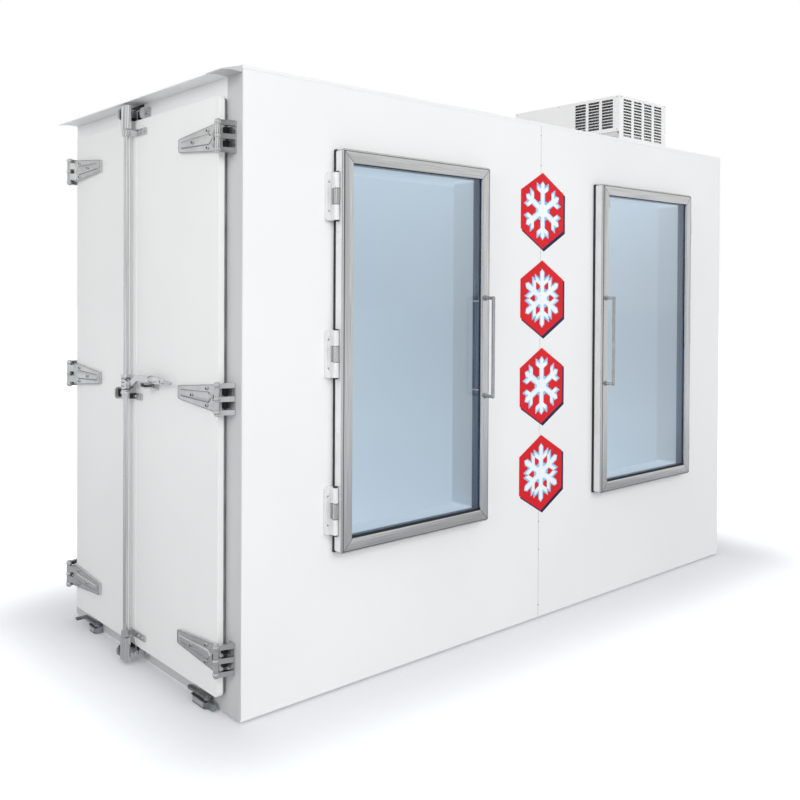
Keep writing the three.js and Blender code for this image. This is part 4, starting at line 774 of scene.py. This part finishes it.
class FREEZER_OT_latch_dressing(bpy.types.Operator):
    """Rails, screws, black bars of painted shade and pivot nuts of the two base latches"""
    bl_idname = "freezer.latch_dressing"
    bl_label = "Base latch dressing"

    def execute(self, context):
        rails, latch_shade_bars = bmesh.new(), bmesh.new()
        for start, size in LATCHES.values():
            end = start + size
            box(rails, (start - 4, 1.0, LEVER_TOP + 1.5), (end + 30, 5.0, LEVER_TOP + 6), 1.0)
            box(rails, (start + 14, 33.0, 7.0), (end - 14, 36.5, 23.0), 2.0)
            for along in (start + 24, end - 24):
                peg(rails, "y", 4.0, 36.0, 38.0, (along, 15), 6)
            # Black bars of painted shade on each latch, one high on the block and one at its foot.
            box(latch_shade_bars, (start + 1, 8.0, 25.6), (end - 1, 34.7, 29.1), 0.4)
            box(latch_shade_bars, (start + 10, 34.2, 4.5), (end - 10, 34.8, 6.5))
        settle("latch_rails", rails, END, "cabinet", "zinc")
        settle("latch_seams", latch_shade_bars, END, "cabinet", "rubber")
        for name, (start, _) in LATCHES.items():
            nut = bmesh.new()
            peg(nut, "z", 8.5, LEVER_TOP, LEVER_TOP + 4, (start + 14, 18), 6)
            peg(nut, "z", 4.4, LEVER_TOP + 3.5, LEVER_TOP + 7, (start + 14, 18), 12, soft=0.8)
            settle(f"{name}_lever_nut", nut, END, f"{name}_lever", "iron")
        return {"FINISHED"}


class FREEZER_OT_glazing(bpy.types.Operator):
    """Two panes round an edge spacer in each glass door, with the beads, casings and studs about them"""
    bl_idname = "freezer.glazing"
    bl_label = "Glazing"

    def execute(self, context):
        pane = context.scene.freezer_sizes.pane_thickness / MM
        inset = 36.6  # of the panes in the frame
        for name, side in (("left", -1), ("right", 1)):
            low = (side * DOOR_CENTRE - DOOR_WIDTH / 2, DOOR_LOW)
            high = (side * DOOR_CENTRE + DOOR_WIDTH / 2, DOOR_HIGH)
            body = f"{name}_glass_door"
            panes = bmesh.new()
            for near in (21.3, 42.7 - pane):
                box(panes, (low[0] + inset, near, low[1] + inset), (high[0] - inset, near + pane, high[1] - inset))
            glass = settle(f"insulated_glass_{name}", panes, FRONT, body, "glass")
            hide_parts(f"glass_door_{name}_glass")
            spacer = bmesh.new()
            self.ring(spacer, low, high, 38.0, 51.0, 21.4 + pane, 42.6 - pane)
            self.ring(spacer, low, high, 47.6, 50.0, 1.0, 21.0)
            settle(f"edge_spacer_{name}", spacer, FRONT, body, "spacer")
            bead = bmesh.new()
            self.ring(bead, low, high, 46.5, 49.2, 42.9, 45.0)
            self.ring(bead, low, high, 0.2, 6.4, 1.0, 12.8)  # lip of the door seal
            box(bead, (low[0] + 49, 42.9, low[1] + 49), (high[0] - 49, 44.2, low[1] + 56))  # setting blocks' cover
            settle(f"glazing_bead_{name}", bead, FRONT, body, "rubber")
            casing = bmesh.new()
            for edge in (low[0], high[0]):
                box(casing, (edge - 0.35, 16.0, low[1] + 9), (edge + 0.35, 46.0, high[1] - 9))
            settle(f"frame_casing_{name}", casing, FRONT, body, "casting")
            studs = bmesh.new()
            along = side * (DOOR_CENTRE - DOOR_WIDTH / 2 + 51.5)
            for height in (PULL_CENTRE - 171, PULL_CENTRE + 181):
                peg(studs, "y", 2.6, 2.0, 21.0, (along, height), 10)
                peg(studs, "y", 2.6, 21.6 + pane, 42.4 - pane, (along, height), 10)
            settle(f"pull_studs_{name}", studs, FRONT, body, "casting")
        return {"FINISHED"}

    @staticmethod
    def ring(bm, low, high, outer, inner, near, far):
        """A flat ring between two insets from the door's edge."""
        border(bm, (low[0] + outer, low[1] + outer), (high[0] - outer, high[1] - outer), inner - outer, near, far)


class FREEZER_OT_pull_dressing(bpy.types.Operator):
    """Saddles and end caps of the two door pulls, and the screws and barrel caps of the glass doors' hinges"""
    bl_idname = "freezer.pull_dressing"
    bl_label = "Pull and hinge dressing"

    def execute(self, context):
        screws, caps = bmesh.new(), bmesh.new()
        for name, side in (("left", -1), ("right", 1)):
            pulls = bmesh.new()
            along = side * (DOOR_CENTRE - DOOR_WIDTH / 2 + PULL_INSET)
            for sign in (-1, 1):
                height = PULL_CENTRE + sign * (PULL_HALF - 8)
                box(pulls, (along - 8, 53.8, height - 9), (along + 8, 58.5, height + 9), 2.0)
                peg(pulls, "y", 7.2, 58.0, 92.0, (along, height), 18, 6.2)
                ball(pulls, (7.6, 6.9, 7.6), (along, 96.3, height), 8)
            settle(f"pull_saddles_{name}", pulls, FRONT, f"{name}_glass_door", "bright", 50)
            pin = side * (DOOR_CENTRE + DOOR_WIDTH / 2 + 12)
            for height in GLASS_HINGES:
                for sign in (-1, 1):
                    for reach, half, radius, sides, soft in ((84, 2.5, 8.6, 16, 1.0), (27.8, 0.9, 10.3, 20, 0.0)):
                        level = height + sign * reach
                        peg(caps, "z", radius, level - half, level + half, (pin, 33.0), sides, soft=soft)
                    peg(screws, "y", 3.2, 11.6, 13.2, (pin + side * 17.5, height + sign * 50), 14)
        settle("hinge_plate_screws", screws, FRONT, "cabinet", "bright", 50)
        settle("hinge_barrel_caps", caps, FRONT, "cabinet", "rubber", 50)
        return {"FINISHED"}


class FREEZER_OT_badges(bpy.types.Operator):
    """Column of six-sided red ice badges with navy edges and white crystals on the front"""
    bl_idname = "freezer.badges"
    bl_label = "Ice badges"

    def execute(self, context):
        sizes = context.scene.freezer_sizes
        tall, gap, base = sizes.badge_height / MM, sizes.badge_gap / MM, sizes.badge_base / MM
        layers = {name: bmesh.new() for name in ("navy", "red", "blue", "white")}
        for k in range(sizes.badge_count):
            centre = (12.0, base + tall / 2 + k * (tall + gap))
            self.hexagon(layers["navy"], (centre[0] + 10, centre[1] - 10), tall / 2, 0.1, 0.5)
            self.hexagon(layers["red"], centre, tall / 2 - 2, 0.4, 0.8)
            self.crystal(layers["blue"], centre, tall * 0.385, 15.5, 0.7, 1.0, k % 2)
            self.crystal(layers["white"], centre, tall * 0.37, 10.5, 0.9, 1.3, k % 2)
        for name, bm in layers.items():
            settle(f"badge_{name}", bm, FRONT, "cabinet", f"{name}_vinyl")
        return {"FINISHED"}

    @staticmethod
    def sixfold(bm, centre, shape, near, far):
        """A flat outline made of one run of points, turned round the centre by sixths."""
        outline = []
        for k in range(6):
            sine, cosine = math.sin(k * math.pi / 3), math.cos(k * math.pi / 3)
            outline += [(centre[0] + u * cosine + v * sine, centre[1] - u * sine + v * cosine) for u, v in shape]
        plate(bm, outline, near, far)

    def hexagon(self, bm, centre, reach, near, far):
        """A field that stands on a corner."""
        self.sixfold(bm, centre, [(0, reach)], near, far)

    def crystal(self, bm, centre, reach, half, near, far, kind):
        """One outline of six arms round a six-sided heart, with a pair of twigs on each; kind moves the twigs."""
        start, twig = (reach * 0.60, reach * 0.22) if kind else (reach * 0.44, reach * 0.30)
        across, along, thick = half + twig * 0.866, twig * 0.5, half * 1.9
        side = [(half, half * 2.6), (half, start), (across, start + along), (across, start + along + thick),
                (half, start + thick), (half, reach - half)]
        arm = [(-u, v) for u, v in side] + [(0, reach)] + side[::-1] + [(half * 1.5, half * 2.6)]
        self.sixfold(bm, centre, arm, near, far)


class FREEZER_OT_cabinet_trim(bpy.types.Operator):
    """Rivets, joint sealant and edge mouldings of the cabinet's panels, and the screws of its roof"""
    bl_idname = "freezer.cabinet_trim"
    bl_label = "Cabinet trim"

    def execute(self, context):
        rivets = bmesh.new()
        for height in (60, 300, 420, 900, 1395, 1950, 2080):
            ball(rivets, (3.2, 1.4, 3.2), (0, 0.2, height), 5)
        settle("joint_rivets", rivets, FRONT, "cabinet", "bright")
        joint = bmesh.new()
        box(joint, (-1.5, -3.0, 10), (1.5, 0.12, 2130))
        settle("panel_joint_sealant", joint, FRONT, "cabinet", "frame_sheet")
        # Hemmed lower edge and roof flashing, 1 mm proud of the front panels.
        trim = bmesh.new()
        for low, high in ((9, 14), (2122, 2133.6)):
            box(trim, (LEFT_FACE, FRONT_FACE - 1, low), (-LEFT_FACE, FRONT_FACE + 0.5, high), 0.6)
        settle("panel_edge_trim", trim, WORLD, "cabinet", "panel")
        seal = bmesh.new()
        box(seal, (694, 0.4, 2094), (880, 4.0, 2113), 1.0)  # over the upper keeper
        settle("keeper_seal_block", seal, END, "cabinet", "rubber")
        screws = bmesh.new()
        for k in range(9):
            for wall in (-640, 640):
                ball(screws, (3.6, 3.6, 1.8), (-1320 + k * 330, wall, ROOF + 0.2), 5)
        settle("roof_screws", screws, WORLD, "cabinet", "bright")
        return {"FINISHED"}


class FREEZER_OT_unit_dressing(bpy.types.Operator):
    """Screws, blank plate, rims and painted louvre shade of the roof unit, its fan guard, coil bends, pipes and
    fittings
    """
    bl_idname = "freezer.unit_dressing"
    bl_label = "Roof unit dressing"

    def execute(self, context):
        left, front = UNIT_LEFT, UNIT_FRONT
        right, rear, top = left + UNIT_WIDTH, front + UNIT_DEPTH, ROOF + UNIT_HEIGHT
        self.skirt(left, front, right, rear, top)
        wire_radius = context.scene.freezer_sizes.guard_wire / MM
        guard("condenser_fan_guard", (left + 78.5, front + 159.0, ROOF + 128.6), "yz", range(26, 118, 15), 40,
              wire_radius, 8, (12, 118), wire_radius * 1.2)
        # Hairpin bends where the coil's tubes turn back at its rear end.
        pipes = bmesh.new()
        coil_end, coil_middle = front + 284.0, left + 50.0
        for k in range(9):
            height = ROOF + 18 + k * 27
            turns = [math.pi * j / 8 for j in range(9)]
            bend = [(coil_middle, coil_end + 11 * math.sin(a), height + 9 - 9 * math.cos(a)) for a in turns]
            start, end = [(coil_middle, coil_end - 4, level) for level in (height, height + 18)]
            wire(pipes, [start, *bend, end], 4.5)
        # Discharge and suction pipes of the compressor.
        middle, across = left + UNIT_WIDTH / 2 + 20, front + 520.0
        for radius, *corners in (
                (4.0, (middle - 60, across - 40, ROOF + 150), (middle - 110, across - 60, ROOF + 190),
                 (coil_middle + 4, coil_end + 40, ROOF + 200), (coil_middle, coil_end + 6, ROOF + 248)),
                (6.0, (middle + 20, across + 78, ROOF + 120), (middle + 40, across + 115, ROOF + 120),
                 (middle + 60, across + 120, ROOF + 60), (middle + 60, across + 120, ROOF + 8))):
            wire(pipes, self.bent(*corners), radius)
        settle("refrigerant_pipes", pipes, WORLD, "cabinet", "copper", 60)
        # Terminal box, capped stub, foot bolts and weld seam of the compressor.
        fittings = bmesh.new()
        box(fittings, (middle - 40, across - 104, ROOF + 60), (middle + 40, across - 76, ROOF + 130), 4.0)
        peg(fittings, "z", 5.0, ROOF + 200, ROOF + 214, (middle + 20, across), 12)
        for k in range(4):
            foot = around((middle, across), 95, "xy", math.pi / 4 + k * math.pi / 2)
            peg(fittings, "z", 7.0, ROOF + 9, ROOF + 14, foot, 6)
        wire(fittings, circle((middle, across, ROOF + 132), 82.0, "xy", 40), 2.2, closed=True)
        settle("compressor_fittings", fittings, WORLD, "cabinet", "enamel")
        return {"FINISHED"}

    @staticmethod
    def skirt(left, front, right, rear, top):
        """Screws, blank plate, rims and dark bands of painted louvre shade on the outside of the housing between these
        bounds.
        """
        screws = bmesh.new()
        for along in (left + 14, (left + right) / 2, right - 14):
            for face in (front - 0.2, rear + 0.2):
                for height in (ROOF + 30, top - 8):
                    ball(screws, (3.2, 1.6, 3.2), (along, face, height), 5)
        for across in (front + 14, (front + rear) / 2 + 40, rear - 14):
            for face in (left - 0.2, right + 0.2):
                for height in (ROOF + SKIRT_LOW + 12, top - 8):
                    ball(screws, (1.6, 3.2, 3.2), (face, across, height), 5)
        settle("housing_screws", screws, WORLD, "cabinet", "bright")
        blank, pan = bmesh.new(), left + PAN_INSET
        box(blank, (pan - 1.4, front + 24, ROOF + 30), (pan + 0.2, front + 124, ROOF + 60), 0.6)
        # A pale baffle between the pan's side and the skirt that hangs over it.
        box(blank, (left + 4, front + 12, ROOF + 98), (left + 8.5, rear - 12, ROOF + 128), 0.4)
        settle("blank_plate", blank, WORLD, "cabinet", "frame_sheet")
        # Foot and rolled rim of the pan, and the hem along each skirt above it.
        rims = bmesh.new()
        for side, wall in ((-1, left), (1, right)):
            pan = wall - side * PAN_INSET
            for face, outer, ends, low, high, soft in (
                    (pan, 8.0, 10, 0.4, 2.2, 0.6), (pan, 2.6, 10, PAN_TOP - 5, PAN_TOP + 0.6, 0.6),
                    (wall, 1.4, 0, SKIRT_LOW, SKIRT_LOW + 4, 0.5)):
                near, far = sorted((face - side * 0.2, face + side * outer))
                box(rims, (near, front + ends, ROOF + low), (far, rear - ends, ROOF + high), soft)
        settle("housing_rims", rims, WORLD, "cabinet", "panel")
        # A dark band at the lower edge of each louvre's slot: painted shade under the blade above it.
        louvre_shade_bands = bmesh.new()
        for column in range(3):
            near = front + 40 + column * 87.5
            for row in range(10):
                low = top - LOUVRE_TOP - row * LOUVRE_PITCH - 9.4
                box(louvre_shade_bands, (left - 0.25, near, low - 2.4), (left + 0.5, near + 70, low + 0.2))
        for column in range(4):
            near = left + 38 + column * 94.5
            for row in range(13):
                low = top - LOUVRE_TOP - row * LOUVRE_PITCH - 8.2
                box(louvre_shade_bands, (near, front - 0.25, low - 1.6), (near + 72, front + 0.5, low + 0.2))
        settle("louvre_lips", louvre_shade_bands, WORLD, "cabinet", "enamel")

    @staticmethod
    def bent(start, first, second, end):
        """Points on the curve that leaves start towards first and reaches end from second."""
        steps, places = 18, []
        for k in range(steps + 1):
            t = k / steps
            weights = ((1 - t) ** 3, 3 * t * (1 - t) ** 2, 3 * t * t * (1 - t), t ** 3)
            places.append([sum(weight * corner for weight, corner in zip(weights, along))
                           for along in zip(start, first, second, end)])
        return places


class FREEZER_OT_interior(bpy.types.Operator):
    """Evaporator fan guard and drain pipe inside the cabinet"""
    bl_idname = "freezer.interior"
    bl_label = "Interior"

    def execute(self, context):
        low, high = [[value / MM for value in corner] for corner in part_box("evaporator_case")]
        guard("evaporator_fan_guard", ((low[0] + high[0]) / 2, low[1] - 2.0, (low[2] + high[2]) / 2), "xz",
              (14, 26, 38, 50), 32, 1.2, 6, (8, 54), 1.5)
        drain = bmesh.new()
        wire(drain, [(low[0] + 30, high[1] - 20, low[2] - 0.5), (low[0] + 30, high[1] - 20, low[2] - 30),
                     (1366, high[1] - 20, low[2] - 46)], 8.0, 3)
        settle("drain_pipe", drain, WORLD, "cabinet", "copper")
        return {"FINISHED"}


# ---------------------------------------------------------------- studio

BLACK, WHITE = (0.0, 0.0, 0.0, 1.0), (1.0, 1.0, 1.0, 1.0)

# How bright the surroundings are in metal and glass, by the turn: 0 and 1 are at the left, 0.25 is in front,
# 0.5 at the right and 0.75 behind.
WALL_LEVELS = (
    (0.0, 1.00), (0.05, 0.12), (0.09, 1.00), (0.19, 1.00), (0.26, 0.12), (0.31, 0.66), (0.35, 0.62),
    (0.375, 0.90), (0.42, 0.90), (0.50, 0.15), (0.56, 0.75), (0.70, 0.70), (0.76, 0.20), (0.80, 0.60),
    (0.835, 0.80), (0.86, 1.00), (1.0, 0.90))


class FREEZER_OT_studio(bpy.types.Operator):
    """Pale floor, soft lights, white surroundings and the camera at the photograph's angle"""
    bl_idname = "freezer.studio"
    bl_label = "Studio"

    def execute(self, context):
        scene = context.scene
        scene.view_settings.view_transform = "Standard"
        self.floor(scene)
        self.surroundings(scene)
        self.lamp(scene, "key_softbox", (-1.4, -10.6, 5.4), (0.0, 0.0, 1.1), 6.0, 452.0)
        self.lamp(scene, "left_softbox", (-5.2, -1.8, 2.9), (-1.5, -0.2, 1.6), 2.6, 71.0)
        self.lamp(scene, "top_softbox", (0.6, 0.4, 7.0), (0.0, 0.0, 0.0), 6.0, 60.0)
        self.camera(scene)
        return {"FINISHED"}

    @staticmethod
    def lamp(scene, name, place, target, size, watts):
        """A square softbox that faces its target; places are in metres."""
        light = bpy.data.lights.new(name, "AREA")
        light.shape, light.size, light.energy = "SQUARE", size, watts
        holder = bpy.data.objects.new(name, light)
        holder.visible_glossy = False  # metal shows the painted surroundings, not the lamps
        holder.location = place
        holder.rotation_euler = (Vector(target) - Vector(place)).to_track_quat("-Z", "Y").to_euler()
        scene.collection.objects.link(holder)

    @staticmethod
    def floor(scene):
        """Seamless pale board: it takes the shadow, and reads as white to the camera where it is lit; to the camera it
        also has a painted glow, kept weak near the freezer as painted shade round its footprint.
        """
        made = Finish("studio_board", Roughness=0.9, Specular_IOR_Level=0.0, Emission_Color=linear("F6F9FB"))
        # Away from the freezer's footprint the board runs into the white surroundings: its painted glow rises with the
        # distance, so that near the freezer the board is painted darker.
        away = made.place
        for operation, value in (("MULTIPLY", (1.0, 1.0, 0.0)), ("ABSOLUTE", None), ("SUBTRACT", (1.5, 0.68, 0.0)),
                                 ("MAXIMUM", (0.0, 0.0, 0.0)), ("LENGTH", None)):
            inputs = {0: away} if value is None else {0: away, 1: value}
            away = made.add("ShaderNodeVectorMath", {"operation": operation}, inputs)
        away = away.outputs["Value"]
        painted_glow_round_footprint = made.ease(away, 0.0, 0.98, 0.13, 1.0)
        # In metal and glass it is a painted glow, not a lit board: darker near the freezer and paler away, and it meets
        # the walls without a line.
        rays, bounced = made.bounced()
        painted_glow_in_mirrors = made.maths("MULTIPLY", bounced, made.ease(away, 0.2, 6.0, 0.50, 0.88))
        pale = made.blend(made.spread(made.grain(0.5)), linear("D6D8DA"), linear("D8DADC"))
        made.plug(Base_Color=made.blend(bounced, pale, BLACK),
                  Emission_Strength=made.maths("MULTIPLY_ADD", rays["Is Camera Ray"], painted_glow_round_footprint, painted_glow_in_mirrors))
        bm = bmesh.new()
        bmesh.ops.create_grid(bm, x_segments=1, y_segments=1, size=60.0)
        bmesh.ops.translate(bm, vec=(0, 0, -0.0004), verts=bm.verts)
        mesh = bpy.data.meshes.new("studio_floor")
        bm.to_mesh(mesh)
        bm.free()
        mesh.materials.append(made.material)
        board = bpy.data.objects.new("studio_floor", mesh)
        scene.collection.objects.link(board)

    @staticmethod
    def surroundings(scene):
        """White to the eye; a soft studio of pale and darker walls in metal and glass; even grey light."""
        world = bpy.data.worlds.new("studio_surroundings")
        world.use_nodes = True
        made = Nodes(world.node_tree)
        direction = made.add("ShaderNodeTexCoord").outputs["Generated"]
        turn = made.add("ShaderNodeTexGradient", {"gradient_type": "RADIAL"}, {"Vector": direction})
        walls = made.add("ShaderNodeValToRGB", None, {"Fac": turn.outputs["Fac"]})
        ramp = walls.color_ramp
        ramp.interpolation = "EASE"
        while len(ramp.elements) < len(WALL_LEVELS):
            ramp.elements.new(0.5)
        for element, (at, level) in zip(ramp.elements, WALL_LEVELS):
            element.position = at
            element.color = (level, level, level, 1.0)
        above = made.ease(made.split(direction)[2], 0.28, 0.75, 0.0, 1.0)
        studio = made.blend(above, walls, (0.90, 0.90, 0.90, 1.0))
        rays, bounced = made.bounced()
        lit = made.blend(bounced, linear("CFCFD0"), studio)
        made.feed(made.tree.nodes["Background"].inputs["Color"], made.blend(rays["Is Camera Ray"], lit, WHITE))
        scene.world = world

    @staticmethod
    def camera(scene):
        """The photograph's camera, fitted to the corners of the cabinet and the glass doors."""
        yaw, pitch, roll = (math.radians(v) for v in (41.389, -0.613, 0.30))
        focal, centre_x, centre_y = 913.2, -2.2, -97.8  # pixels; the lens axis from the picture's middle
        forward = Vector((math.sin(yaw) * math.cos(pitch), math.cos(yaw) * math.cos(pitch), math.sin(pitch)))
        right = Vector((math.cos(yaw), -math.sin(yaw), 0.0))
        up = right.cross(forward)
        leaning = right * math.cos(roll) + up * math.sin(roll)
        rising = up * math.cos(roll) - right * math.sin(roll)
        data = bpy.data.cameras.new("photo_camera")
        data.sensor_width = 36.0
        data.lens = focal / PHOTO * data.sensor_width
        data.shift_x, data.shift_y = -centre_x / PHOTO, centre_y / PHOTO
        camera = bpy.data.objects.new("photo_camera", data)
        turned = Matrix((leaning, rising, -forward)).transposed().to_4x4()
        camera.matrix_world = Matrix.Translation((-3.0530, -3.2046, 1.4036)) @ turned
        scene.collection.objects.link(camera)
        scene.camera = camera


# ---------------------------------------------------------------- add-on

OPERATORS = (
    FREEZER_OT_finishes, FREEZER_OT_strap_dressing, FREEZER_OT_lock_dressing, FREEZER_OT_latch_dressing,
    FREEZER_OT_glazing, FREEZER_OT_pull_dressing, FREEZER_OT_badges, FREEZER_OT_cabinet_trim,
    FREEZER_OT_unit_dressing, FREEZER_OT_interior, FREEZER_OT_studio,
)


class FREEZER_PT_panel(bpy.types.Panel):
    """Freezer settings and steps"""
    bl_label = "Freezer"
    bl_idname = "FREEZER_PT_panel"
    bl_space_type = "VIEW_3D"
    bl_region_type = "UI"
    bl_category = "Freezer"

    def draw(self, context):
        for group in (context.scene.freezer_colours, context.scene.freezer_sizes):
            column = self.layout.column(align=True)
            for name in group.__annotations__:
                column.prop(group, name)
        for operator in OPERATORS:
            self.layout.operator(operator.bl_idname)


CLASSES = (FreezerColours, FreezerSizes, *OPERATORS, FREEZER_PT_panel)


def register():
    for each in CLASSES:
        bpy.utils.register_class(each)
    bpy.types.Scene.freezer_colours = bpy.props.PointerProperty(type=FreezerColours)
    bpy.types.Scene.freezer_sizes = bpy.props.PointerProperty(type=FreezerSizes)


def unregister():
    del bpy.types.Scene.freezer_sizes
    del bpy.types.Scene.freezer_colours
    for each in reversed(CLASSES):
        bpy.utils.unregister_class(each)


def main():
    register()
    for operator in OPERATORS:
        getattr(bpy.ops.freezer, operator.bl_idname.split(".")[1])()


if __name__ == "__main__":
    main()
